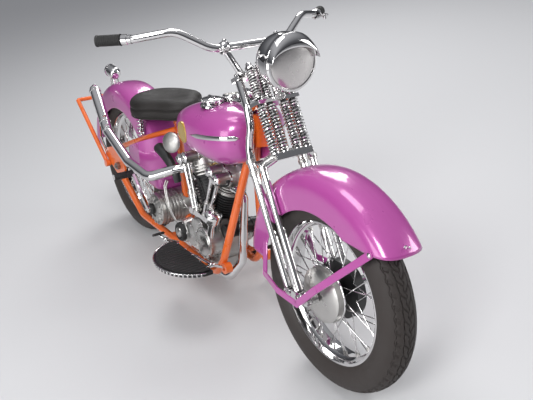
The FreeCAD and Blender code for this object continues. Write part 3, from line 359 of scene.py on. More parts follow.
def link(name: str, data: bpy.types.ID) -> bpy.types.Object:
    """A new object in the scene."""
    made = bpy.data.objects.new(name, data)
    bpy.context.scene.collection.objects.link(made)
    return made


def stand(thing: bpy.types.Object, axes: list[np.ndarray], place: ArrayLike) -> None:
    """Sets the three axes and the place of an object, in the row frame."""
    rows = [[*row, shift] for row, shift in zip(np.column_stack(axes), place)]
    thing.matrix_world = Matrix(rows + [[0, 0, 0, 1]])


def thicken(sheet: bpy.types.Object, metres: float) -> None:
    """Gives a sheet a wall behind its face."""
    wall = sheet.modifiers.new("wall", "SOLIDIFY")
    wall.thickness, wall.offset = metres, -1


@dataclass
class Piece:
    """Gathers faces in the bike frame and makes one Blender mesh of them.

    Args:
        name: the object's name.
        finish: what it wears.
        slot: kept on the piece, but not used.
        body: the body that it rides on.
    """

    name: str
    finish: str
    slot: str = ""
    body: str = "chassis"
    points: list[np.ndarray] = field(default_factory=list)
    faces: list[tuple[int, ...]] = field(default_factory=list)
    count: int = 0

    def __post_init__(self) -> None:
        """Without a slot of its own, a piece takes the one of its finish."""
        self.slot = self.slot or self.finish

    def add(self, points: ArrayLike, faces: list[tuple[int, ...]]) -> "Piece":
        """Adds points and the faces between them."""
        points = np.asarray(points, float).reshape(-1, 3)
        self.points.append(points)
        self.faces += [tuple(index + self.count for index in face) for face in faces]
        self.count += len(points)
        return self

    def grid(self, points: np.ndarray, round_u: bool = False, round_v: bool = False,
             ends: bool = False) -> "Piece":
        """Adds a surface given as rows of points.

        Args:
            points: rows by columns by 3.
            round_u: the last row joins the first.
            round_v: each row is a ring.
            ends: a face closes the first row, and one the last.
        """
        rows, columns = points.shape[:2]
        faces = []
        for i in range(rows if round_u else rows - 1):
            for j in range(columns if round_v else columns - 1):
                a, b = i * columns + j, i * columns + (j + 1) % columns
                c = ((i + 1) % rows) * columns
                faces.append((a, b, c + (j + 1) % columns, c + j))
        if ends:
            last = (rows - 1) * columns
            faces += [tuple(range(columns - 1, -1, -1)), tuple(range(last, last + columns))]
        return self.add(points, faces)

    def turned(self, profile: Profile, centre: ArrayLike, axis: ArrayLike, sides: int = 40) -> "Piece":
        """Adds a turned form."""
        axis = unit(axis)
        first, second = square_to(axis)
        angle = np.linspace(0, 2 * math.pi, sides, endpoint=False)
        ring = np.cos(angle)[:, None] * first + np.sin(angle)[:, None] * second
        rows = [np.asarray(centre, float) + axis * along + ring * max(radius, 0.01)
                for along, radius in profile]
        return self.grid(np.array(rows), round_v=True)

    def tube(self, path: ArrayLike, radius: ArrayLike, sides: int = 12, closed: bool = False) -> "Piece":
        """Adds a tube along a path; radius is a number, or one number for each point."""
        path = np.asarray(path, float)
        radii = np.broadcast_to(np.asarray(radius, float), len(path))
        along = np.roll(path, -1, 0) - np.roll(path, 1, 0) if closed else np.gradient(path, axis=0)
        first, _ = square_to(along[0])
        angle = np.linspace(0, 2 * math.pi, sides, endpoint=False)
        rows = []
        for point, run, size in zip(path, along, radii):
            run = unit(run)
            first = unit(first - run * (first @ run))
            second = np.cross(run, first)
            rows.append(point + (np.cos(angle)[:, None] * first + np.sin(angle)[:, None] * second) * size)
        return self.grid(np.array(rows), round_u=closed, round_v=True, ends=not closed)

    def prism(self, centre: ArrayLike, axis: ArrayLike, radius: float, length: float, sides: int = 6,
              dome: float = 0.0) -> "Piece":
        """Adds a bolt head or nut: a prism with a chamfered far face, or a dome."""
        cut = radius * 0.12
        profile = [(0, radius), (length - cut, radius), (length, radius - cut)]
        profile += [(length + dome * 0.6, radius * 0.6), (length + dome, 0)] if dome else [(length, 0)]
        return self.turned(profile, centre, axis, sides)

    def bolts(self, centre: np.ndarray, axis: ArrayLike, radius: float, count: int, size: float) -> None:
        """Adds domed bolt heads evenly round a circle about an axis."""
        first, second = square_to(axis)
        for angle in around(count, 0.3):
            out = math.cos(angle) * first + math.sin(angle) * second
            self.prism(centre + out * radius, axis, size, size * 0.8, 6, size * 0.2)

    def box(self, centre: ArrayLike, size: Point, turn: np.ndarray | None = None,
            cut: float = 1.5) -> "Piece":
        """Adds a block whose edges are cut back; turn is a 3 by 3 rotation."""
        half = np.asarray(size, float) / 2
        rows = []
        for z, inset in ((-half[2], cut), (-half[2] + cut, 0), (half[2] - cut, 0), (half[2], cut)):
            x, y = half[0] - inset, half[1] - inset
            corner = min(cut, x * 0.9, y * 0.9)
            ring = [(x, y - corner), (x - corner, y), (-x + corner, y), (-x, y - corner)]
            rows.append([(x, -y + corner, z), *((*place, z) for place in ring),
                         *((-a, -b, z) for a, b in ring[:3])])
        points = np.array(rows, float)
        if turn is not None:
            points = points @ turn.T
        return self.grid(points + np.asarray(centre, float), round_v=True, ends=True)

    def make(self, *replaced: str, sharp: float = 35.0) -> bpy.types.Object:
        """Makes the object, rides it on its body and hides the CAD nodes it stands for.

        Args:
            replaced: CAD nodes that it stands for.
            sharp: edges that turn more than this many degrees stay sharp.

        Returns:
            The object.
        """
        mesh = bpy.data.meshes.new(self.name)
        mesh.from_pydata(BIKE.row(np.vstack(self.points)), [], self.faces)
        mesh.validate()
        mesh.shade_smooth()
        mesh.set_sharp_from_angle(angle=math.radians(sharp))
        made = link(self.name, mesh)
        made.data.materials.append(PAINT.get(self.finish))
        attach(made, self.body)
        if replaced:
            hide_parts(*replaced)
        log.info("%s: %d faces", self.name, len(self.faces))
        return made


@dataclass
class Tyre:
    """A road tyre: block rows either side of a zigzag groove, a smooth rib and a notched shoulder."""

    name: str
    centre: np.ndarray
    body: str
    ring: float = 280.0
    crown: float = 58.0
    groove: float = 4.2
    pitches: int = 54
    tread_edge: float = 52.0
    bead: float = 138.0

    def depth(self, turn: np.ndarray, lean: np.ndarray) -> np.ndarray:
        """The depth of the cuts, 0 to 1: the deepest of five families of smooth-sided grooves.

        Args:
            turn: angle round the wheel.
            lean: angle across the crown, in degrees.
        """
        out, lap = np.abs(lean), turn * self.pitches / (2 * math.pi)

        def cut(distance: np.ndarray, half_width: float) -> np.ndarray:
            """A groove with rounded lips: 1 in its middle, 0 past its half width."""
            return np.clip(1.25 - (distance / half_width) ** 2, 0, 1)

        zigzag = cut(lean - 3.4 * np.sin(turn * self.pitches), 1.9)
        phase = (lap + out / 30 + (lean > 0) * 0.5) % 1
        blocks = cut(phase - 0.5, 0.12) * (out < 18)
        ring = cut(out - 18.5 - 1.3 * np.cos(2 * math.pi * phase), 1.7)
        notch_phase = (lap + out / 60 + (lean > 0) * 0.5) % 1
        notches = cut(notch_phase - 0.5, 0.2) * ((out > 29) & (out < 43)) * 0.75
        edge = cut(out - 44 + 3 * np.cos(2 * math.pi * notch_phase), 1.4) * 0.5
        return np.maximum.reduce([zigzag, blocks, ring, notches, edge])

    def build(self) -> None:
        """Makes the tyre in place of its CAD node: a torus whose small radius is cut by the tread."""
        turn = np.linspace(0, 2 * math.pi, self.pitches * 16, endpoint=False)[:, None]
        wall, tread = np.linspace(self.tread_edge, self.bead, 14), self.tread_edge - 2
        lean = np.concatenate([-wall[::-1], np.linspace(-tread, tread, 78), wall])[None, :]
        out, side = np.abs(lean), np.radians(lean)
        size = self.crown - 0.2 - self.groove * self.depth(turn, lean) * (out < self.tread_edge)
        for line, deep, width in ((76, 1.0, 1.5), (112, 1.2, 3)):
            size = size - deep * np.exp(-(((out - line) / width) ** 2))
        radius = self.ring + size * np.cos(side)
        points = np.stack([radius * np.sin(turn), size * np.sin(side), radius * np.cos(turn)], -1)
        tyre = Piece(f"{self.name}_tyre_tread", "tyre_rubber", body=self.body)
        tyre.grid(points + self.centre, round_u=True).make(f"{self.name}_tyre", sharp=50)


@dataclass
class WheelTrim:
    """A laced rim with its spokes, nipples and valve, and the hub's covers and bolts."""

    name: str
    centre: np.ndarray
    body: str
    spokes: int = 40
    rim: float = 242.0
    half: float = 42.0
    drum: float = 98.0
    flange: float = 39.0
    nipple: float = 217.5
    valve_turn: float = 0.4
    drum_bolts: int = 10
    bolt_ring: float = 84.0

    def build(self) -> None:
        """Makes the rim in place of its CAD node, then the trim."""
        self.laced_rim()
        nipples = Piece(f"{self.name}_nipples", "steel", "chrome", self.body)
        for index, angle in enumerate(around(self.spokes)):
            out, lean = spoke(angle), ACROSS * (1 if index % 2 else -1)
            nipples.prism(self.centre + out * self.nipple + lean * 6, -out + lean * 0.12, 3.4, 13, 8)
        valve = spoke(self.valve_turn)
        nipples.turned([(0, 4), (22, 4), (22, 3), (34, 3), (34, 0)], self.centre + valve * 217, -valve, 12)
        nipples.make()
        bolts = Piece(f"{self.name}_drum_bolts", "steel", body=self.body)
        for angle in around(self.drum_bolts):
            bolts.prism(self.centre + spoke(angle) * self.bolt_ring + ACROSS * self.half, ACROSS, 5.5, 4)
        bolts.make()
        if self.name == "front":
            self.hub_cover()

    def section(self, bed: float, well: float) -> Profile:
        """The rolled drop-centre section, closed: outside from edge to edge, then back inside."""
        top, half = self.rim - 2, self.half
        outside = [(12, well + 3), (16, well + 6), (20, bed - 1.4), (30, bed - 0.4), (38.6, bed + 1),
                   (39, top), (39.8, top + 1.7), (41, top + 1.7), (half, top), (half, bed)]
        inside = [(41, bed - 2.6), (34, bed - 3.6), (21, bed - 4), (17, well + 4), (13, well + 0.4)]

        def mirror(rows: Profile) -> Profile:
            """The same rows on the other side, in the opposite order."""
            return [(-along, radius) for along, radius in reversed(rows)]

        return mirror(outside) + outside + inside + mirror(inside) + [(-half, bed)]

    def laced_rim(self) -> None:
        """The rim, and crossed spokes as the CAD lays them: from the drum on the left, the flange right."""
        well = self.rim - 24
        rim = Piece(f"{self.name}_rim_hoop", "chrome", body=self.body)
        rim.turned(self.section(self.rim - 8, well), self.centre, ACROSS, 180)
        for index, angle in enumerate(around(self.spokes)):
            sweep = 1 if (index // 2) % 2 else -1
            if index % 2:
                side, reach, fan, foot_y = 1, self.drum - 6, 28, self.half - 34 - 2.25
            else:
                side, reach, fan, foot_y = -1, self.flange, 62, self.half - 8.3
            foot = self.centre + spoke(angle + sweep * math.radians(fan)) * reach + ACROSS * side * foot_y
            rim.tube([foot, self.centre + spoke(angle) * (well - 0.5) + ACROSS * side * 6], 2.0, 8)
        rim.make(f"{self.name}_rim")

    def hub_cover(self) -> None:
        """The front hub's polished dome: a shallow cap whose radius is the root of its fall."""
        edge, step = 93.6, 14
        dome = [(self.half + 34.5 * math.sin(turn), edge * math.cos(turn) ** 0.8 + step)
                for turn in np.linspace(0, QUARTER, 22)[1:-1]]
        profile = [(37, 92.3), (39, 94.2), (self.half, 94.4), *(row for row in dome if row[1] < edge),
                   (77, 17), (78, 14), (78, 9.6)]
        Piece("front_hub_cover", "polished_alloy", body=self.body).turned(
            profile, self.centre, -ACROSS, 72).make()
        Piece("front_hub_ring", "chrome", body=self.body).turned(
            collar(38, 45, 96, 3, 2), self.centre, -ACROSS, 72).make()


@dataclass
class Spring:
    """A helix between two points, with closed end turns."""

    foot: np.ndarray
    top: np.ndarray
    radius: float
    wire: float
    turns: float

    def line(self) -> np.ndarray:
        """The wire's centre line."""
        axis = self.top - self.foot
        length = float(np.linalg.norm(axis))
        first, second = square_to(axis)
        share = np.linspace(0, 1, int(self.turns * 18))
        rise = share - 0.175 / self.turns * np.sin(2 * math.pi * share)
        along = self.wire + (length - 2 * self.wire) * rise
        angle = 2 * math.pi * self.turns * share
        ring = np.cos(angle)[:, None] * first + np.sin(angle)[:, None] * second
        return self.foot + unit(axis) * along[:, None] + (self.radius - self.wire) * ring

    def add_to(self, piece: Piece) -> None:
        """Adds the coils to a piece."""
        piece.tube(self.line(), self.wire, 8)


@dataclass
class Fork:
    """The girder fork's springs, rods, caps and hardware."""

    ahead: float = 60.0
    rows: tuple[float, ...] = (-62.0, -26.0, 26.0, 62.0)
    low: float = 471.3
    perch: float = 643.0
    half_perch: float = 6.4
    top: float = 768.0
    crown: float = 754.0
    rigid_leg: float = -42.0
    spring_leg: float = 20.0
    leg_y: float = 98.0

    def build(self) -> None:
        """Makes the springs in place of their CAD node, and the fork's nuts and collars."""
        coils = Piece("fork_coils", "bright_wire", "chrome", "fork")
        rods = Piece("fork_spring_rods", "dark_steel", "chrome", "fork")
        caps = Piece("fork_spring_caps", "chrome", body="fork")
        reach = self.top - self.low - 12
        for side in self.rows:
            foot, seat, perch, cap = (BIKE.fork(self.ahead, height, side) for height in (
                self.low, self.perch - self.half_perch, self.perch + self.half_perch, self.top - 10))
            Spring(foot, seat, 17.4, 3.4, 15.5).add_to(coils)
            Spring(perch, cap, 16.4, 3.0, 12.5).add_to(coils)
            up = seat - foot
            rods.turned([(1, 0), (1, 10.2), (reach, 10.2), (reach, 0)], foot, up, 24)
            caps.turned([(0, 0), (0, 15.5), (5, 15.5), (9, 11), (17, 10), (21, 6), (23, 0)], cap, up, 24)
            caps.turned([(0, 0), (0, 15.5), (4, 15.5), (6, 9), (6, 0)], foot, up, 24)
        rods.make()
        caps.make()
        coils.make("fork_springs")
        self.nuts()
        self.collars()
        self.marker()

    def nuts(self) -> None:
        """The nuts and bolts of the crown, yoke and rockers."""
        nuts = Piece("fork_nuts", "chrome", body="fork")
        up = BIKE.steering()
        for _, side in SIDES:
            for ahead, height in ((self.rigid_leg, 34), (self.spring_leg, 12)):
                nuts.prism(BIKE.fork(ahead, height, side * 112), ACROSS * side, 10, 7, 6, 2)
            nuts.prism(BIKE.fork(2, self.crown, side * 78), up, 12, 9, 6, 3)
            for ahead in (40, 80):
                nuts.prism(BIKE.fork(ahead, 649, side * 44), up, 6, 5)
        nuts.prism(BIKE.fork(0, self.crown), up, 19, 14, 6, 5)
        nuts.make()

    def collars(self) -> None:
        """Bright collars on the legs, and a rounded yoke under the lower springs."""
        up = BIKE.steering()
        collars = Piece("fork_collars", "polished_alloy", body="fork")
        yoke = ((self.spring_leg, 446, self.leg_y), (34, 458, 84), (54, 463, 64), (60, 464, 20), (60, 464, 0))
        for _, side in SIDES:
            for height in (436, 478):
                place = BIKE.fork(self.rigid_leg, height, side * self.leg_y)
                collars.turned(collar(-7, 7, 17, 3), place, up, 32)
            place = BIKE.fork(self.spring_leg, 440, side * self.leg_y)
            collars.turned(collar(-9, 9, 16, 4, 2), place, up, 32)
            path = smooth_path([BIKE.fork(ahead, height, side * y) for ahead, height, y in yoke], 6)
            collars.tube(path, np.linspace(13, 15.5, len(path)), 16)
        collars.make()

    def marker(self) -> None:
        """A small marker lamp under the headlamp."""
        place = BIKE.fork(92, 652, 0)
        Piece("marker_lamp", "chrome", body="fork").turned(
            [(-22, 4), (-20, 12), (-8, 19), (2, 20), (4, 18)], place, AHEAD, 32).make()
        Piece("marker_glass", "lens", "chrome", "fork").turned(
            [(2, 18), (6, 15), (9, 8), (10, 0)], place, AHEAD, 32).make()


@dataclass
class Headlamp:
    """The lens with its bright reflector, the rim and the peak of the headlamp."""

    centre: np.ndarray = placed(1277, 0, 1031)
    radius: float = 88.0
    bowl_depth: float = 102.0
    wall: float = 0.0016

    def build(self) -> None:
        """Makes the lamp's pieces."""
        size = self.radius
        lens = [(along + 2, radius) for along, radius in arc(20, size - 5, 16)]
        Piece("headlamp_glass", "lamp_glass", "chrome", "fork").turned(lens, self.centre, AHEAD, 72).make()
        Piece("headlamp_rim", "chrome", body="fork").turned(
            [(-18, size + 3.4), (-10, size + 4), (-4, size + 6), (2, size + 6), (7, size + 2), (8, size - 4),
             (3, size - 7)], self.centre, AHEAD, 80).make()
        bowl = [(-18 - self.bowl_depth * math.sin(turn), (size + 2.5) * math.cos(turn) ** 0.62 + 1)
                for turn in np.linspace(0, 0.985 * QUARTER, 24)]
        Piece("headlamp_bowl", "chrome", body="fork").turned(bowl, self.centre, AHEAD, 72).make()
        self.peak()

    def peak(self) -> None:
        """The half peak over the upper part of the lens.

        Each row is the rim's arc above a level chord, pushed ahead; the roof sinks a little as it
        goes, so that its front edge is a flat arch.
        """
        level = math.asin(0.1)
        out = np.linspace(0, 1, 14)[:, None]
        angle = np.linspace(level, math.pi - level, 49)[None, :]
        size = self.radius + 5.5 - 2 * out
        y = size * np.cos(angle) * (1 - 0.02 * out)
        low = size * math.sin(level)
        z = low + (size * np.sin(angle) - low) * (1 - 0.5 * out**1.6)
        x = 2 + 26 * np.sin(out * QUARTER) + 0 * angle
        piece = Piece("headlamp_peak", "chrome", body="fork").grid(self.centre + np.stack([x, y, z], -1))
        thicken(piece.make(), self.wall)


@dataclass
class Saddle:
    """The padded solo seat with its leather cover and rolled welt, and its two springs.

    The profile is a table of (share of the height, inset from the outline), from the base up.
    """

    rear: np.ndarray = placed(356, 0, 650)
    nose_x: float = 520.0
    rear_radius: float = 168.0
    nose_radius: float = 46.0
    waist: float = 128.0
    height: float = 75.0
    dish: float = 9.0
    tilt: float = math.radians(4)
    profile: tuple[tuple[float, float], ...] = (
        (0.02, 26), (0, 12), (0.06, 4), (0.2, 0.8), (0.36, 0.5), (0.44, 2.4), (0.48, 6.4), (0.52, 3.4),
        (0.6, 1.6), (0.72, 3), (0.83, 8), (0.92, 17), (0.98, 30), (1, 46), (0.985, 64))
    spring_x: float = 270.0
    spring_y: float = 96.0
    spring_z: tuple[float, float] = (557.6, 664.0)

    def outline(self, angle: np.ndarray, shrink: float, level: float) -> np.ndarray:
        """A ring of the plan outline seen from its middle: a broad round rear drawn in to a blunt nose.

        The radius is that of an ellipse for the rear and a power of the cosine that adds the nose,
        so the sides are hollow between the two.

        Args:
            angle: directions from the middle.
            shrink: how far the ring lies inside the outline.
            level: its share of the seat's height.
        """
        middle = self.rear[0] - 2
        c, s = np.cos(angle), np.sin(angle)
        wide, back = self.rear_radius - 12, self.rear_radius - 2
        round_part = 1 / np.sqrt((c / np.where(c > 0, self.waist, back)) ** 2 + (s / wide) ** 2)
        nose = (self.nose_x + self.nose_radius - 4 - middle - self.waist) * np.clip(c, 0, 1) ** 7
        size = round_part + nose - shrink
        return np.stack([middle + size * c, size * s, np.full_like(size, level * self.height)], -1)

    def surface(self, angle: np.ndarray) -> np.ndarray:
        """The closed skin: a rolled side, a crown, a dished seat and a flat base, ring by ring."""
        rows = [self.outline(angle, shrink, level) for level, shrink in self.profile]
        last = rows[-1]
        middle = np.array([self.rear[0] - 2, 0, 0])
        for share in (0.8, 0.6, 0.4, 0.2, 0.04):
            ring = middle + (last - middle) * np.array([share, share, 1])
            ring[:, 2] = last[:, 2] - self.dish * (1 - share**2)
            rows.append(ring)
        points = np.array(rows)
        swell = 9 * np.clip((self.rear[0] - 40 - points[..., 0]) / 130, 0, 1) ** 1.5
        points[..., 2] += swell * (points[..., 2] > 0.55 * self.height)
        return self.tilted(points)

    def build(self) -> None:
        """Makes the cushion in place of its CAD node, its welt, and the springs."""
        turns = np.linspace(0, 2 * math.pi, 192, endpoint=False)
        cushion = Piece("saddle_cushion", "leather").grid(self.surface(turns), round_v=True, ends=True)
        made = cushion.make("saddle", sharp=70)
        welt = Piece("saddle_welt", "leather")
        for level, shrink, size in ((0.48, 5.2, 2.6), (0.03, 6, 3.4)):
            welt.tube(self.tilted(self.outline(turns, shrink, level)), size, 8, closed=True)
        welt.make()
        self.springs()

    def tilted(self, points: ArrayLike) -> np.ndarray:
        """Lifts the nose by the tilt, about the rear edge."""
        points = np.array(points, float)
        c, s = math.cos(self.tilt), math.sin(self.tilt)
        pivot = self.rear[0] - self.rear_radius
        x, z = points[..., 0] - pivot, points[..., 2]
        points[..., 0] = pivot + x * c - z * s
        points[..., 2] = self.rear[2] + x * s + z * c
        return points

    def springs(self) -> None:
        """The two saddle springs in place of their CAD node."""
        coils = Piece("saddle_coils", "chrome")
        for _, side in SIDES:
            foot, top = (np.array([self.spring_x, side * self.spring_y, z]) for z in self.spring_z)
            Spring(foot + UP * 6, top - UP * 5, 16, 3.4, 6.5).add_to(coils)
            coils.turned([(0, 0), (0, 15.5), (5, 15.5), (6, 8), (6, 0)], foot, UP, 24)
            coils.turned([(-6, 0), (-6, 8), (-5, 15.5), (-1, 15.5), (-1, 0)], top, UP, 24)
            coils.turned([(0, 0), (0, 5), (96, 5), (96, 0)], foot + UP * 6, UP, 12)
        coils.make("saddle_springs")


@dataclass
class Chain:
    """The final drive chain: link plates, pins and rollers round both sprockets."""

    front: np.ndarray = placed(430, 69, 269)
    rear: np.ndarray = placed(0, 69, 338)
    small: float = 50.0
    large: float = 124.0
    depth: float = 12.0
    pitch: float = 15.9
    plate: Point = (23.9, 1.0, 9.5)

    def path(self) -> np.ndarray:
        """The pitch line, as points one pitch apart."""
        along = unit(self.front - self.rear)
        over = -unit(np.cross(ACROSS, along))
        tilt = math.asin((self.large - self.small) / np.linalg.norm(self.front - self.rear))
        end = QUARTER - tilt
        points = []
        for centre, radius, stop, steps in ((self.front, self.small, -end, 24),
                                            (self.rear, self.large, end - 2 * math.pi, 40)):
            start = end if centre is self.front else -end
            for angle in np.linspace(start, stop, steps):
                out = math.cos(angle) * along + math.sin(angle) * over
                points.append(centre + (radius + self.depth / 2) * out)
        points = np.array(points + points[:1])
        gone = np.concatenate([[0], np.cumsum(np.linalg.norm(np.diff(points, axis=0), axis=1))])
        count = int(round(gone[-1] / self.pitch / 2)) * 2
        stops = np.linspace(0, gone[-1], count, endpoint=False)
        return np.stack([np.interp(stops, gone, points[:, k]) for k in range(3)], -1)

    def build(self) -> None:
        """Makes the chain in place of its CAD node."""
        links = Piece("drive_chain_links", "steel")
        path = self.path()
        pin = [(-4.9, 0), (-4.9, 2.2), (-3, 2.2), (-3, 4.6), (3, 4.6), (3, 2.2), (4.9, 2.2), (4.9, 0)]
        for index, (point, after) in enumerate(zip(path, np.roll(path, -1, 0))):
            links.turned(pin, point, ACROSS, 10)
            offset = 3.3 if index % 2 else 4.4
            turn = along_side(unit(after - point))
            for _, side in SIDES:
                links.box((point + after) / 2 + ACROSS * side * offset, self.plate, turn, 0.4)
        links.make("drive_chain")


@dataclass
class Engine:
    """The open engine's hardware: covers, bolts, rocker caps, pushrod seals, pipes and leads.

    A lobe of the gear cover is its place from the crank, its sides, the radius and number of its
    screws, and its profile.
    """

    crank: np.ndarray = placed(760, 0, 255)
    clutch: np.ndarray = placed(450, 0, 269)
    gearbox: np.ndarray = placed(430, -120, 269)
    vee: float = math.radians(22.5)
    rocker_along: float = 322.0
    rocker_spread: float = 24.0
    primary_y: float = 112.0
    pushrod_x: tuple[float, ...] = (-58, -30, 30, 58)
    head_top: float = 310.0
    plug_along: float = 292.0
    timer_foot: Point = (98, -98, 44)
    pedal: np.ndarray = placed(260, -194.3, 389)
    lid_x: tuple[float, ...] = (406, 438, 462)
    lid_y: tuple[float, ...] = (-96, -40, 20)
    lid_z: float = 331.0
    oil_line: tuple[Point, ...] = (
        (478, -92, 412), (480, -104, 380), (508, -106, 310), (560, -106, 262), (610, -104, 262))
    wire_loop: tuple[Point, ...] = (
        (650, -70, 340), (640, -112, 350), (664, -122, 392), (700, -112, 372), (706, -100, 340))
    duct: tuple[Point, ...] = (
        (446, -98, 548), (492, -98, 534), (540, -96, 508), (576, -92, 470), (584, -88, 436))
    brake_back: np.ndarray = placed(566, -156, 186)
    brake_front: np.ndarray = placed(962, -156, 240)
    brake_pad: np.ndarray = placed(534, -174, 204)
    plate: np.ndarray = placed(556, -92, 597)
    plate_way: Point = (0.45, -0.85, 0.2)
    lobes: tuple[tuple[Point, int, float, int, Profile], ...] = (
        ((62, -112.3, 6), 64, 58, 8, [
            (-10, 62.5), (0, 62.5), (3, 61), (5, 58), (5, 55), (3, 53), (3, 51), (6, 48), (8, 36), (9, 18),
            (9.4, 0)]),
        ((-60, -102.3, -4), 56, 0, 0, [(-6, 50.4), (0, 50.4), (3, 48), (6, 42), (8, 20), (8, 0)]),
        ((0, -102.3, 24), 56, 53, 7, [(-6, 60.4), (0, 60.4), (4, 56), (6, 40), (7, 0)]),
        ((-122, -108.3, -14), 56, 43, 6, [
            (-8, 48.4), (0, 48.4), (3, 46), (4, 40), (4, 37), (1, 35), (1, 0)]))

    def build(self) -> None:
        """Makes the engine's small pieces."""
        self.case_bolts()
        self.gear_case()
        self.tops()
        self.timer()
        self.gearbox_cover()
        self.kick_pedal()
        self.gearbox_studs()
        self.pipes_and_leads()
        self.brake_linkage()
        self.side_plate()

    def case_bolts(self) -> None:
        """Bolts round the crankcase and the primary case, and the primary's dished covers."""
        bolts, covers = Piece("engine_bolts", "steel"), Piece("primary_trim", "chrome")
        crank, clutch = (centre + ACROSS * self.primary_y for centre in (self.crank, self.clutch))
        for angle in np.radians(np.arange(200, 341, 20)):
            bolts.prism(self.crank + upright(angle) * 100 - ACROSS * 62, -ACROSS, 6, 6)
        bolts.bolts(crank, ACROSS, 56, 6, 6)
        bolts.bolts(clutch, ACROSS, 80, 9, 6)
        bolts.make()
        covers.turned([(0, 58), (5, 56), (8, 48), (9, 20), (11, 12), (11, 0)], clutch, ACROSS, 56)
        covers.turned([(0, 34), (4, 33), (6, 26), (6, 0)], crank, ACROSS, 48)
        covers.make()

    def gear_case(self) -> None:
        """Smooth polished caps over the lobes of the right-hand gear cover, with screws, and a boss in a
        black cup whose black is painted shade.
        """
        trim, screws = Piece("gear_cover_rims", "polished_alloy"), Piece("gear_cover_screws", "chrome")
        for place, sides, radius, count, profile in self.lobes:
            centre = self.crank + np.array(place)
            trim.turned(profile, centre, -ACROSS, sides)
            for angle in around(count, 0.2):
                screw = centre + upright(angle) * radius - ACROSS * 3
                screws.turned([(0, 4.2), (3.4, 4), (5, 2.6), (5.4, 0)], screw, -ACROSS, 12)
        trim.make()
        screws.make()
        last = self.crank + np.array(self.lobes[-1][0])
        Piece("gear_cover_boss", "polished_alloy").turned(
            [(15, 22), (22, 20), (26, 13), (28, 0)], last, -ACROSS, 48).make()
        # The cup round the boss wears black rubber as painted shade in its hollow.
        Piece("gear_cover_recess_shade", "rubber").turned(
            [(-2, 0), (-2, 41), (12, 40), (19, 36), (20, 31), (16, 27), (16, 0)], last, -ACROSS, 48).make()

    def barrel(self, lean: int) -> np.ndarray:
        """The direction of a cylinder: 1 for the front one, -1 for the rear one."""
        return np.array([math.sin(self.vee) * lean, 0, math.cos(self.vee)])

    def plug(self, lean: int, reach: float) -> tuple[np.ndarray, np.ndarray]:
        """A place on a spark plug's axis, and the way it points."""
        out = unit([lean * 0.75, -0.66, 0.15])
        return self.crank + self.barrel(lean) * self.plug_along + out * reach, out

    def shafts(self) -> list[np.ndarray]:
        """The rocker shafts' middles, from the rear cylinder's rear one to the front one's."""
        found = []
        for lean in (-1, 1):
            up = self.barrel(lean)
            across = np.array([up[2], 0, -up[0]])
            found += [self.crank + up * self.rocker_along + across * side * self.rocker_spread
                      for side in (-1, 1)]
        return found

    def tops(self) -> None:
        """Rocker caps, cover nuts, pushrod seals and spark plugs."""
        caps = Piece("rocker_caps", "chrome")
        seals = Piece("pushrod_collars", "polished_alloy", "chrome")
        end = [(86, 22.4), (90, 22.4), (92, 19), (94.4, 17), (96, 15), (100, 13), (102, 8), (102, 0)]
        for shaft, foot_x in zip(self.shafts(), self.pushrod_x):
            caps.turned(end, shaft, -ACROSS, 40)
            caps.turned(collar(30, 38, 24.5, 2.2), shaft, -ACROSS, 40)
            foot, top = self.crank + np.array([foot_x, -80, 104]), shaft - ACROSS * 74
            run = unit(top - foot)
            reach = float(np.linalg.norm(top - foot)) - 22
            for along, size in ((5, 15.5), (64, 14), (72, 11.5), (reach - 6, 12.5)):
                seals.turned(collar(-5, 5, size, 3, 1.5), foot + run * along, run, 28)
        for lean in (1, -1):
            up = self.barrel(lean)
            foot = self.crank + up * self.head_top
            caps.bolts(foot + up * 19, up, 44, 6, 5.5)
            caps.prism(foot + up * 43, up, 13, 6, 6, 3)
            caps.turned([(-4, 9), (4, 9), (4, 6), (10, 6)], *self.plug(lean, 54), 12)
        caps.make()
        seals.make()

    def timer(self) -> None:
        """The timer's cap and its clamp."""
        foot, axis = self.crank + np.array(self.timer_foot), unit([0.3, 0, 1])
        cap = Piece("timer_cap", "bright_wire", "chrome")
        cap.turned([(82, 33.4), (100, 34.6), (108, 34.2), (114, 31), (119, 25), (122, 15), (123, 9), (127, 8),
                    (128, 0)], foot, axis, 48)
        cap.turned(collar(60, 72, 20, 4, 2), foot, axis, 40)
        cap.make()

    def gearbox_cover(self) -> None:
        """The gearbox's ribbed end cover and the ribs round its side."""
        end = Piece("gearbox_end_cover", "cast_alloy", "polished_alloy")
        end.turned([(-30, 66.4), (-2, 66.6), (2, 68), (7, 68), (10, 64), (11, 56), (16, 50), (20, 40),
                    (20, 30), (14, 28), (14, 0)], self.gearbox, -ACROSS, 64)
        for angle in around(12):
            out = upright(angle)
            end.box(self.gearbox + out * 46 - ACROSS * 15, (26, 10, 4), along_side(out), 1)
        rib = collar(0, 6, 70.5, 1, 1.5) + [(6, 66), (0, 66)]
        for along in range(14, 110, 16):
            end.turned(rib, self.gearbox + ACROSS * along, ACROSS, 56)
        end.make()

    def kick_pedal(self) -> None:
        """The kick spring's cup and the pedal's ribbed rubber."""
        cup = Piece("kick_cup", "rubber")
        cup.turned([(12, 0), (12, 24), (26, 23), (30, 18), (30, 0)], self.gearbox - AHEAD * 20, -ACROSS, 40)
        ribs = [row for start in range(-44, 46, 10) for row in collar(start, start + 7.5, 15.6, 1.4, 1.5)]
        cup.turned([(-45, 12), *ribs, (45.4, 12), (45.4, 0)], self.pedal, ACROSS, 28)
        cup.make()

    def gearbox_studs(self) -> None:
        """The bolts of the gearbox's end cover and the studs of its lid."""
        studs = Piece("gearbox_studs", "steel")
        studs.bolts(self.gearbox - ACROSS * 7, -ACROSS, 61, 8, 6)
        for x in self.lid_x:
            for y in self.lid_y:
                studs.prism((x, y, self.lid_z), UP, 6, 6, 6, 1)
        studs.make()

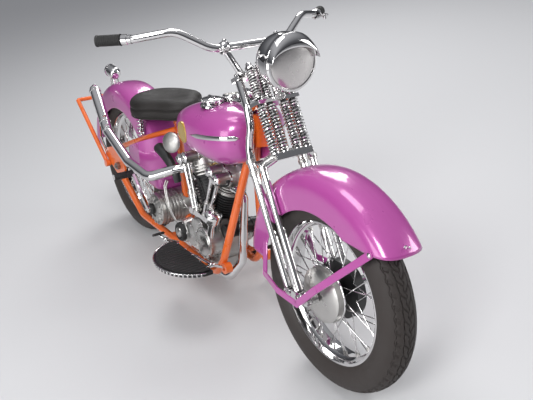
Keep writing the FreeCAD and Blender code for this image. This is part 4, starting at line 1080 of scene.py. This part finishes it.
    def pipes_and_leads(self) -> None:
        """Steel oil lines, black plug leads, a loop of wire and the intake's flange rings."""
        lines = Piece("oil_lines", "polished_alloy", "steel")
        for shift in (0, 16):
            lines.tube(smooth_path(np.array(self.oil_line) + AHEAD * shift), 3.2, 10)
        lines.tube(smooth_path(self.wire_loop, 10), 1.8, 8)
        lines.make()
        leads = Piece("plug_leads", "rubber")
        for lean in (1, -1):
            plug, out = self.plug(lean, 64)
            leads.turned([(-2, 0), (-2, 7.5), (12, 7.5), (18, 4), (18, 0)], plug, out, 16)
            leads.tube(smooth_path([plug + out * 14, plug + out * 30 - UP * 10, (760 + 40 * lean, -60, 470),
                                    (764 + 10 * lean, -52, 400), (790, -46, 372)]), 3.4, 10)
        leads.make()
        rings = Piece("intake_rings", "brass", "polished_alloy")
        for x in (-34, 34):
            rings.turned(collar(-6, 6, 21, 4), self.crank + np.array([x, 10, 262]), AHEAD, 32)
        rings.make()

    def brake_linkage(self) -> None:
        """The foot brake's pedal, its arm and its rod, between the right rail and the footboard."""
        rod, back, front = Piece("brake_linkage", "chrome"), self.brake_back, self.brake_front
        rod.tube([back, front], 4.2)
        for end, pivot in ((front, (958, -104, 212)), (back, (566, -98, 158))):
            rod.tube([end, pivot], 6.0)
            rod.turned(collar(-9, 9, 10, 2, 3, solid=True), end, ACROSS, 24)
            rod.prism(end - ACROSS * 9, -ACROSS, 7, 5)
        rod.tube(smooth_path([back, (548, -162, 192), (536, -172, 200)], 6), 5.0)
        rod.make()
        pad, tilt = Piece("brake_pad", "rubber"), along_side(unit([1, 0, 0.5]))
        pad.box(self.brake_pad, (40, 46, 8), tilt, 3)
        for along in (-14, -5, 5, 14):
            pad.box(self.brake_pad + tilt @ np.array([along, 0, 5]), (5, 40, 3), tilt, 1)
        pad.make()

    def side_plate(self) -> None:
        """The round plate behind the rear cylinder and the black duct under it."""
        plate, out = Piece("side_plate", "cast_alloy", "chrome"), unit(self.plate_way)
        dome = [(-8, 0), (-8, 38), (-4, 41), (0, 42), (4, 39), (9, 30), (12, 16), (13, 0)]
        plate.turned(dome, self.plate, out, 56)
        plate.tube(smooth_path([(452, -12, 590), (500, -60, 592), self.plate - out * 6], 6), 6)
        plate.make()
        path = smooth_path(self.duct)
        Piece("black_duct", "cast_iron").tube(path, np.linspace(23, 15, len(path)), 20).make()


@dataclass
class Tanks:
    """The fuel tanks' smooth skins, with their plain discs, side strips, caps and the dash dial.

    A row of the skin is its x, the rise and half height of its section, and how far out it reaches.
    """

    rows: tuple[tuple[float, float, float, float], ...] = (
        (584, -20, 4, 44), (592, -21, 22, 62), (620, -22, 42, 88), (700, -18, 76, 130), (780, -9, 94, 150),
        (860, -2, 101, 158), (940, 3, 107, 158), (1000, 7, 104, 148), (1050, 11, 88, 126), (1078, 14, 68, 98),
        (1088, 15, 46, 72), (1091, 15, 8, 42))
    inner: float = 34.0
    middle: float = 724.0
    power: float = 2 / 2.5
    cap: Point = (892.0, 76.0, 838.0)
    disc: Point = (788.0, 148.0, 712.0)
    dash: Point = (900.0, 0.0, 846.0)

    def skin(self, u: np.ndarray, v: np.ndarray) -> np.ndarray:
        """A point of the left tank's skin.

        Args:
            u: 0 at the rear to 1 at the front; the rows are joined by cubic runs.
            v: angle in the section, a quarter turn down at the bottom to one up at the top.

        Returns:
            Points: the section is a half superellipse of power 2.5 that bulges to the side.
        """
        smooth = smooth_path(self.rows, 12)
        place = np.linspace(0, 1, len(smooth))
        x, rise, half, reach = (np.interp(u, place, smooth[:, k]) for k in range(4))
        y = self.inner + (reach - self.inner) * np.abs(np.cos(v)) ** self.power
        z = self.middle + rise + half * np.sign(np.sin(v)) * np.abs(np.sin(v)) ** self.power
        return np.stack([x + 0 * v, y, z], -1)

    def build(self) -> None:
        """Makes the skins over the CAD tanks, then the trim."""
        for name, side in SIDES:
            points = self.skin(np.linspace(0, 1, 120)[:, None], np.linspace(-QUARTER, QUARTER, 48)[None, :])
            flat = points[:, -2:0:-1].copy()
            flat[..., 1] = self.inner
            points = np.concatenate([points, flat], 1) * np.array([1, side, 1])
            tank = Piece(f"tank_skin_{name}", "magenta_paint").grid(points, round_v=True, ends=True)
            if side < 0:
                tank.faces = [face[::-1] for face in tank.faces]
            tank.make(f"fuel_tank_{name}")
            self.side_trim(name, side)
        self.caps()
        self.dial()

    def side_trim(self, name: str, side: int) -> None:
        """The plain gilt disc and the bright strip that follow the tank's side."""
        flip, count = np.array([1, side, 1]), 60
        line = self.skin(np.linspace(0.46, 0.87, count), np.linspace(0.004, 0.15, count))
        rise = np.linspace(0, 8, count)
        taper = np.clip(np.minimum(rise, rise[::-1]), 0.15, 1)[:, None]
        rows = [line + ACROSS * lift + UP * height * taper
                for lift, height in ((0.1, 8.5), (2.6, 7.2), (3.8, 0), (2.6, -7.2), (0.1, -8.5))]
        Piece(f"tank_strip_{name}", "chrome").grid(np.array(rows) * flip).make()
        out = unit(np.array([-0.10, 0.99, -0.05]) * flip)
        Piece(f"tank_disc_{name}", "gold", "chrome").turned(
            [(-16, 38), (-4, 40), (4, 40), (6, 38.4), (6.4, 35), (5, 33), (5.4, 20), (5.8, 0)],
            self.disc * flip, out, 56).make()

    def caps(self) -> None:
        """Knurled filler caps with a raised lever."""
        caps = Piece("filler_caps", "chrome")
        form = [(-16, 44), (-9, 43), (-6, 34), (0, 33), (2, 38), (9, 38), (12, 34), (14, 20), (15, 0)]
        for _, side in SIDES:
            centre = self.cap * np.array([1, side, 1])
            caps.turned(form, centre, UP, 56)
            for angle in around(24):
                out = np.array([math.cos(angle), math.sin(angle), 0])
                caps.box(centre + out * 38 + UP * 5.5, (3, 3, 7), None, 0.6)
            caps.box(centre + UP * 17, (46, 9, 5))
        caps.make()

    def dial(self) -> None:
        """The speedometer: a chrome bezel, a plain dial, a needle and its marks."""
        centre, lean = np.array(self.dash), unit([-0.16, 0, 1])
        Piece("dash_bezel", "chrome").turned(
            [(-6, 33), (5, 33), (9, 31), (9, 27), (5, 27)], centre, lean, 48).make()
        Piece("dash_dial", "white_dial", "chrome").turned([(5, 27.5), (5, 0)], centre, lean, 48).make()
        marks = Piece("dash_marks", "black_print_and_painted_shade", "rubber")
        first, second = square_to(lean)
        for angle in np.radians(np.arange(-130, 131, 20)):
            out = math.cos(angle) * first + math.sin(angle) * second
            turn = np.column_stack([out, np.cross(lean, out), lean])
            marks.box(centre + lean * 5.4 + out * 22, (6, 1.2, 0.5), turn, 0.2)
        needle = np.column_stack([first, second, lean])
        marks.box(centre + lean * 6 + first * 6, (24, 1.4, 0.6), needle, 0.2)
        marks.make()


@dataclass
class Footboards:
    """The board mats with their ribs, studs and chrome edges."""

    length: float = 310.0
    width: float = 150.0
    end_width: float = 30.0
    x: float = 850.0
    y: float = 175.0
    top: float = 240.0
    thickness: float = 3.5
    ribs: int = 15
    studs: int = 24
    bolts: tuple[float, ...] = (-120, -60, 0, 60, 120)

    def edge(self, side: int, inset: float, count: int = 60) -> np.ndarray:
        """The board's curved outline, from its rear corner round to the front one."""
        half, drop = self.length / 2, self.width - self.end_width
        radius = (half**2 + drop**2) / (2 * drop)
        reach = math.asin(half / radius)
        angle = np.linspace(-reach, reach, count)
        x = (radius - inset) * np.sin(angle)
        y = self.width - radius + (radius - inset) * np.cos(angle)
        return np.stack([self.x + x, side * (self.y + y), np.full(count, self.top)], -1)

    def build(self) -> None:
        """Makes both boards' trim."""
        for name, side in SIDES:
            mat = Piece(f"footboard_mat_{name}", "rubber")
            outer = self.edge(side, 9)
            inner, lift = outer.copy(), UP * self.thickness
            inner[:, 1] = side * (self.y + 6)
            mat.grid(np.array([inner, inner + lift, outer + lift, outer]))
            for share in np.linspace(0.08, 0.92, self.ribs):
                x = self.x + (share - 0.5) * (self.length - 24)
                reach = np.interp(x, outer[:, 0], np.abs(outer[:, 1]))
                middle = (self.y + 10 + reach - 6) / 2
                mat.box((x, side * middle, self.top + 4), (5, reach - self.y - 18, 3), None, 1)
            mat.make()
            studs = Piece(f"footboard_studs_{name}", "chrome")
            studs.tube(self.edge(side, -1.5, 90) - UP * 1.5, 2.2, 8)
            for point in self.edge(side, -1.0, self.studs + 2)[1:-1]:
                studs.box(point - UP * 6, (8, 6, 12), None, 1.2)
            for along in self.bolts:
                studs.prism((self.x + along, side * (self.y + 3), self.top), UP, 5, 4)
            studs.make()


@dataclass
class Pipes:
    """Clamps of the muffler, and a dark disc of painted shade in its mouth, placed by their distance along
    it.
    """

    root: np.ndarray = placed(100, -182, 545)
    way: Point = (-250, 47, 145)
    clamps: tuple[tuple[float, float], ...] = ((8, 22.6), (60, 25.4), (262, 25.4))
    mouth: float = 284.4

    def build(self) -> None:
        """Makes the clamps, and a dark disc in the muffler's mouth as painted shade."""
        clamps, run = Piece("exhaust_clamps", "chrome"), unit(self.way)
        for along, radius in self.clamps:
            place = self.root + run * along
            ear = place + UP * (radius + 4)
            clamps.turned(collar(-7, 7, radius + 1, 3), place, run, 40)
            clamps.prism(ear - ACROSS * 9, ACROSS, 5, 16)
            clamps.box(ear, (10, 6, 10), None, 1)
        clamps.make()
        # A black disc closes the muffler's mouth: painted shade for the inside of the pipe.
        Piece("muffler_mouth_shade_disc", "black_print_and_painted_shade", "cast_iron").turned(
            [(self.mouth, 18), (self.mouth, 0)], self.root, run, 32).make()


@dataclass
class Bars:
    """Grips, levers, clamps and collars of the handlebar."""

    end: np.ndarray = placed(824, 450, 1087)
    elbow: np.ndarray = placed(918, 361, 1096)
    clamp: Point = (1040.0, 100.0, 1051.0)

    def build(self) -> None:
        """Makes the bar's pieces."""
        grips = Piece("bar_grips", "rubber", body="fork")
        fittings = Piece("bar_fittings", "chrome", body="fork")
        ribs = [row for ring in range(11) for row in collar(9 + ring * 6.6, 15 + ring * 6.6, 18.2, 1)]
        grip = [(0, 0), (0, 14), (2, 19), (6, 19), *ribs, (84, 19), (87, 19), (88.6, 14)]
        for _, side in SIDES:
            flip = np.array([1, side, 1])
            end, run, clamp = self.end * flip, unit((self.elbow - self.end) * flip), self.clamp * flip
            grips.turned(grip, end, run, 32)
            fittings.turned([(91, 13), (91, 17), (110, 17), (112, 14.5), (124, 14)], end, run, 32)
            fittings.turned([(-7, 9), (0, 10), (7, 9)], clamp - UP, ACROSS, 24)
            fittings.turned(collar(-13, 13, 19, 4, 0), clamp, ACROSS, 32)
            fittings.turned(arc(-20, 20, 17, math.pi), clamp + UP * 4, UP, 40)
            fittings.prism(clamp + UP * 22, UP, 7, 7, 6, 3)
        grips.make("grips")
        self.lever(fittings)
        fittings.make()

    def lever(self, piece: Piece) -> None:
        """The brake lever of the left bar, with its perch, below and ahead of the grip."""
        run = unit(self.elbow - self.end)
        perch = self.end + run * 136
        ahead = unit(np.cross(run, UP))
        ahead = ahead if ahead[0] > 0 else -ahead
        piece.turned(collar(-9, 9, 18, 5), perch, run, 32)
        piece.box(perch + ahead * 22 - UP * 5, (26, 14, 11), np.column_stack([ahead, run, UP]), 2.5)
        pivot = perch + ahead * 34 - UP * 7
        piece.turned([(-9, 0), (-9, 7), (9, 7), (9, 0)], pivot, UP, 20)
        steps = ((0, 0, 0), (30, 2, 0), (74, -6, 4), (104, -4, 5))
        path = smooth_path([pivot - run * back + ahead * out - UP * down for back, out, down in steps])
        share = np.linspace(0, 1, len(path))
        piece.tube(path, np.interp(share, [0, 0.2, 0.9, 1], [5.5, 4.2, 3.6, 5.6]))


@dataclass
class RearLamp:
    """The tail lamp's red lens, its bright domed shell and its bracket."""

    way: Point = (-224.0, 0.0, 306.0)
    reach: float = 380.3
    rise: Point = (14.0, 0.0, 78.0)
    shell: float = 28.6

    def build(self) -> None:
        """Makes the pieces about the CAD lamp."""
        out, back = unit(self.way), unit([-1.0, 0, 0.1])
        foot = BIKE.rear() + out * self.reach
        front = foot + np.array(self.rise)
        Piece("tail_lens", "red_lens", "chrome").turned(
            [(0.3, 26), (4, 24), (8, 17), (10, 8), (10.4, 0)], front + back * 56, back, 40).make()
        Piece("tail_shell", "chrome").turned(
            arc(-20, self.shell, 14) + [(50, self.shell), (50, 31), (58, 31), (59.5, 27), (57, 25)],
            front, back, 48).make()
        bracket = Piece("tail_bracket", "polished_alloy", "chrome")
        for side in (-12, 12):
            path = [foot + ACROSS * side + out * 2, foot + ACROSS * side * 1.6 + UP * 30,
                    front + back * 24 + ACROSS * side - UP * 24]
            bracket.tube(smooth_path(path, 6), 3.2, 10)
        bracket.make()


@dataclass
class FenderSkins:
    """Smooth sheet fenders over the CAD ones, with the front one's side bars and tip mark.

    A row of a section is its distance from the middle plane and its radius.
    """

    front_rows: tuple[tuple[float, float], ...] = (
        (0, 404), (24, 402.6), (46, 398), (62, 390.5), (73, 378), (79.5, 362), (82, 342), (82, 310),
        (82, 283))
    rear_rows: tuple[tuple[float, float], ...] = (
        (0, 380), (26, 378.6), (46, 375), (60, 369.5), (70, 360), (76.5, 348), (79.5, 332), (79.5, 300),
        (79.5, 268))
    brace: tuple[Point, ...] = (
        (1758.4, 83, 591.8), (1574, 134, 411), (1478, 134, 316), (1370, 134, 316), (1257, 108, 318),
        (1225.6, 83, 420))
    wall: float = 0.003

    def sheet(self, name: str, body: str, centre: np.ndarray, rows: ArrayLike, start: float,
              floor: float | None) -> bpy.types.Object:
        """A section carried round the wheel, as a walled sheet in place of the CAD fender.

        Args:
            name: the CAD node's name.
            body: the body that it rides on.
            centre: the axle's middle.
            rows: the half section.
            start: where the front end is, in degrees above the axle.
            floor: keeps the front end level at this height above the axle, if given.
        """
        half = smooth_path(rows, 6)
        side = np.concatenate([-half[::-1, 0], half[1:, 0]])[None, :]
        radius = np.concatenate([half[::-1, 1], half[1:, 1]])[None, :] + 0.4
        low = np.full_like(radius, math.radians(start))
        if floor is not None:
            low = np.arcsin(np.clip(floor / radius, -1, 1))
        angle = low + (math.radians(176) - low) * np.linspace(0, 1, 90)[:, None]
        points = np.stack([radius * np.cos(angle), side + 0 * angle, radius * np.sin(angle)], -1)
        skin = Piece(f"{name}_skin", "magenta_paint", body=body).grid(centre + points[::-1])
        thicken(skin.make(name), self.wall)

    def build(self) -> None:
        """Makes both sheets, the front one's brace and the bolts and mark at its tip."""
        self.sheet("front_fender", "fork", BIKE.front(), self.front_rows, 34, 252)
        self.sheet("rear_fender", "chassis", BIKE.rear(), self.rear_rows, -2, None)
        bars = Piece("front_fender_bars", "magenta_paint", body="fork")
        pad = collar(-2.7, 2.7, 12.2, 1.2, 0.9, solid=True)
        for _, side in SIDES:
            corners = np.array(self.brace) * np.array([1, side, 1])
            for a, b in zip(corners, corners[1:]):
                run = unit(b - a)
                rise = unit(np.cross(run, ACROSS))
                turn = np.column_stack([run, np.cross(rise, run), rise])
                bars.box((a + b) / 2, (np.linalg.norm(b - a) + 5, 5.6, 24), turn, 1.6)
            for corner in corners:
                bars.turned(pad, corner, ACROSS, 32)
        bars.make()
        mark = Piece("fender_tip_mark", "chrome", body="fork")
        tip = BIKE.front() + upright(0.74) * 404
        mark.turned([(0, 7), (3, 7), (5, 4), (18, 3.4), (22, 2), (23, 0)], tip, [0.9, 0, 0.43], 16)
        top_x, _, top_z = self.brace[0]
        for _, side in SIDES:
            mark.turned([(0, 8), (2, 8), (4, 5), (5, 0)], (top_x, side * 86, top_z), ACROSS * side, 20)
        mark.make()


@dataclass
class Studio:
    """The floor, the lights, the sky and the photo's camera.

    A lamp is its name, its place and the point it faces in metres, its size and its power.
    """

    eye: Point = (3118.8, -1281.3, 1531.9)
    gaze: Point = (-0.775233, 0.494424, -0.393139)
    above: Point = (-0.315405, 0.236260, 0.919076)
    lens_mm: float = 49.6
    sensor_mm: float = 36.0
    floor_half: float = 40.0
    floor_colour: tuple[float, ...] = (0.62, 0.62, 0.63, 1)
    horizon: tuple[float, ...] = (0.05, 0.05, 0.055, 1)
    haze: tuple[float, ...] = (0.14, 0.145, 0.16, 1)
    zenith: tuple[float, ...] = (0.62, 0.63, 0.66, 1)
    sky_strength: float = 0.75
    lamps: tuple[tuple[str, Point, Point, float, float], ...] = (
        ("key", (2.6, -3.0, 3.4), (0.0, 0.0, 0.5), 1.5, 112),
        ("fill", (2.9, 3.7, 1.5), (0.2, 0.0, 0.6), 1.6, 58),
        ("side", (1.0, -4.2, 1.3), (0.3, 0.0, 0.5), 2.2, 60),
        ("rim", (-2.6, 2.4, 3.2), (0.0, 0.0, 0.6), 1.8, 80),
        ("top", (0.2, 0.0, 3.8), (0.0, 0.0, 0.5), 1.6, 42))

    def build(self) -> None:
        """Makes the studio and sets the camera."""
        scene = bpy.context.scene
        scene.view_settings.view_transform = "Standard"
        scene.render.film_transparent = False
        self.floor()
        self.sky()
        for lamp in self.lamps:
            self.lamp(*lamp)
        self.camera()

    def floor(self) -> None:
        """A pale floor that runs out of view."""
        mesh, half = bpy.data.meshes.new("floor"), self.floor_half
        corners = [(-half, -half, 0), (half, -half, 0), (half, half, 0), (-half, half, 0)]
        mesh.from_pydata(corners, [], [(0, 1, 2, 3)])
        floor = link("floor", mesh)
        material = bpy.data.materials.new("pale_floor")
        tree = Tree(material)
        tree.fill(tree.nodes["Principled BSDF"], {"Base Color": self.floor_colour, "Roughness": 0.55})
        mesh.materials.append(material)

    def sky(self) -> None:
        """A soft studio gradient, bright overhead and darker at eye level."""
        world = bpy.data.worlds.new("studio")
        bpy.context.scene.world = world
        tree = Tree(world)
        place = tree.add("TexCoord").outputs["Generated"]
        split = tree.add("SeparateXYZ", {"Vector": place})
        ramp = tree.add("ValToRGB", {"Fac": split.outputs["Z"]})
        low, high = ramp.color_ramp.elements
        low.position, low.color = 0.0, self.horizon
        high.position, high.color = 0.85, self.zenith
        ramp.color_ramp.elements.new(0.3).color = self.haze
        tree.fill(tree.nodes["Background"], {"Color": ramp.outputs["Color"], "Strength": self.sky_strength})

    def lamp(self, name: str, place: Point, aim: Point, size: float, power: float) -> None:
        """A square area light that faces aim."""
        light = bpy.data.lights.new(name, "AREA")
        light.size, light.energy = size, power
        away = unit(np.array(place) - np.array(aim))
        side = unit(np.cross(UP, away))
        stand(link(name, light), [side, np.cross(away, side), away], place)

    def camera(self) -> None:
        """The camera that took the photo, as fitted to the wheels and tubes."""
        data = bpy.data.cameras.new("photo")
        data.lens, data.sensor_width, data.clip_end = self.lens_mm, self.sensor_mm, 200
        camera = link("photo", data)
        back, above = -BIKE.axis(self.gaze), BIKE.axis(self.above)
        stand(camera, [np.cross(above, back), above, back], BIKE.row(self.eye)[0])
        bpy.context.scene.camera = camera


NODE_FINISH = {
    "crankcase": "cast_alloy", "transmission": "cast_alloy", "head_front": "cast_alloy",
    "head_rear": "cast_alloy", "gear_cover": "polished_alloy", "primary_cover": "polished_alloy",
    "carburettor": "steel", "generator": "cast_iron", "kick_starter": "chrome", "side_stand": "orange_paint",
    "front_hub": "cast_iron", "rear_hub": "cast_iron", "footboard_left": "dark_steel",
    "footboard_right": "dark_steel", "rockers": "chrome",
}


def paint_nodes() -> None:
    """Gives every CAD node the material of its finish."""
    slots = {row["node"]: row["material_slot"] for row in frame["record"]["subparts"]}
    for name, node in frame["nodes"].items():
        finish = NODE_FINISH.get(name, slots[name])
        node.data.materials.clear()
        node.data.materials.append(PAINT.get(finish))
        log.info("%s wears %s", name, finish)


def main() -> None:
    """Builds the whole picture."""
    Studio().build()
    paint_nodes()
    for name, centre in (("front", BIKE.front()), ("rear", BIKE.rear())):
        Tyre(name, centre, f"{name}_wheel").build()
        WheelTrim(name, centre, f"{name}_wheel").build()
    for assembly in (Fork, Headlamp, Saddle, Chain, Engine, Tanks, Footboards, Pipes, Bars, RearLamp,
                     FenderSkins):
        assembly().build()


if __name__ == "__main__":
    main()
